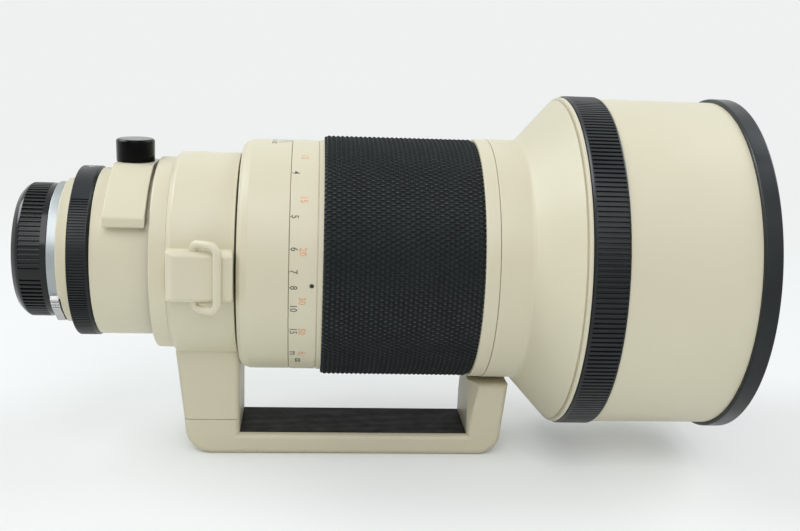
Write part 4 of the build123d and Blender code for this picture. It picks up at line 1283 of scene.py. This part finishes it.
def reckoned(nodes, links, operation, one, two):
    """Output of a maths node on two others."""
    node = nodes.new("ShaderNodeMath")
    node.operation = operation
    links.new(one, node.inputs[0])
    links.new(two, node.inputs[1])
    return node.outputs["Value"]


def mixed(links, mix, share, one, two, surface):
    """Joins two shaders in a mix by a share, and the mix to a surface."""
    links.new(share, mix.inputs["Fac"])
    links.new(one, mix.inputs[1])
    links.new(two, mix.inputs[2])
    links.new(mix.outputs["Shader"], surface)


def seen(nodes, links):
    """1 on the rays that show the background: to the camera, in gloss and through glass."""
    path = nodes.new("ShaderNodeLightPath")
    found = path.outputs["Is Camera Ray"]
    for kind in ("Is Glossy Ray", "Is Transmission Ray"):
        found = reckoned(nodes, links, "MAXIMUM", found, path.outputs[kind])
    return found


def floor_material():
    """Pale floor with a share of the plain background: less near the object, so that its
    shadow shows, and least where it stands."""
    material, shader = node_material("floor", (0.87, 0.885, 0.87), 0.9)
    nodes, links = material.node_tree.nodes, material.node_tree.links
    shader.inputs["Specular IOR Level"].default_value = 0.1
    place = nodes.new("ShaderNodeNewGeometry")
    centre = node_with(nodes, "VectorMath", {1: (0.14, 0, FLOOR_LEVEL)})
    centre.operation = "DISTANCE"
    fade = node_with(nodes, "MapRange", {"From Min": 0.25, "From Max": 0.9, "To Min": FLOOR_GLOW})
    fade.interpolation_type = "SMOOTHSTEP"
    contact = node_with(nodes, "AmbientOcclusion", {"Distance": 0.02})
    glow = node_with(nodes, "Emission", {"Color": (*BACKGROUND, 1)})
    mix = nodes.new("ShaderNodeMixShader")
    links.new(place.outputs["Position"], centre.inputs[0])
    links.new(centre.outputs["Value"], fade.inputs["Value"])
    share = reckoned(nodes, links, "MULTIPLY", fade.outputs["Result"], seen(nodes, links))
    share = reckoned(nodes, links, "MULTIPLY", contact.outputs["AO"], share)
    surface = nodes["Material Output"].inputs["Surface"]
    mixed(links, mix, share, shader.outputs["BSDF"], glow.outputs["Emission"], surface)
    return material


def stage():
    """Floor square under the object."""
    mesh = bpy.data.meshes.new("floor")
    signs = ((-1, -1), (1, -1), (1, 1), (-1, 1))
    corners = [(x * FLOOR_HALF, y * FLOOR_HALF, FLOOR_LEVEL) for x, y in signs]
    mesh.from_pydata(corners, [], [(0, 1, 2, 3)])
    mesh.materials.append(floor_material())
    floor = linked("floor", mesh)


def world():
    """Pale surround, plain to the camera and softer as a light."""
    scene_world = bpy.data.worlds.new("surround")
    bpy.context.scene.world = scene_world
    scene_world.use_nodes = True
    nodes, links = scene_world.node_tree.nodes, scene_world.node_tree.links
    plain = nodes["Background"]
    plain.inputs["Color"].default_value = (*BACKGROUND, 1)
    light = node_with(nodes, "Background", {"Color": (1, 0.985, 0.95, 1), "Strength": 0.23})
    mix = nodes.new("ShaderNodeMixShader")
    surface = nodes["World Output"].inputs["Surface"]
    mixed(links, mix, seen(nodes, links), light.outputs[0], plain.outputs[0], surface)


def lamp(name, place, aim, size, watts, colour):
    """Soft rectangular light at one point, aimed at another."""
    data = bpy.data.lights.new(name, "AREA")
    data.shape = "RECTANGLE"
    data.size, data.size_y = size
    data.energy = watts
    data.color = colour
    thing = linked(name, data)
    thing.location = place
    thing.rotation_euler = (Vector(aim) - Vector(place)).to_track_quat("-Z", "Y").to_euler()


def camera():
    """The photograph's viewpoint, fitted to the rings and the foot."""
    image_width, focal_pixels = 800, 1055.4
    yaw, pitch, roll = radians(4.934), radians(-13.076), radians(2.267)
    forward = Vector((sin(yaw) * cos(pitch), cos(yaw) * cos(pitch), sin(pitch)))
    right = Vector((cos(yaw), -sin(yaw), 0))
    up = right.cross(forward)
    side = cos(roll) * right + sin(roll) * up
    top = -sin(roll) * right + cos(roll) * up
    data = bpy.data.cameras.new("camera")
    data.sensor_width = 36
    data.lens = 36 * focal_pixels / image_width
    data.clip_start, data.clip_end = 0.01, 20
    thing = linked("camera", data)
    turn = Matrix((side, top, -forward)).transposed()
    thing.matrix_world = Matrix.Translation((0.10385, -0.44106, 0.09872)) @ turn.to_4x4()
    bpy.context.scene.camera = thing


stage()
world()
lamp("front", (0.05, -2.1, 2.2), (0.15, 0.0, 0.0), (1.8, 2.9), 50, (0.99, 0.99, 1.0))
lamp("left", (-1.2, 0.25, 1.25), (0.15, 0.0, 0.0), (1.0, 1.0), 22, (0.90, 0.95, 1.0))
lamp("right", (1.5, 0.25, 1.25), (0.15, 0.0, 0.0), (1.0, 1.0), 15, (0.90, 0.95, 1.0))
camera()
bpy.context.scene.view_settings.view_transform = "Standard"
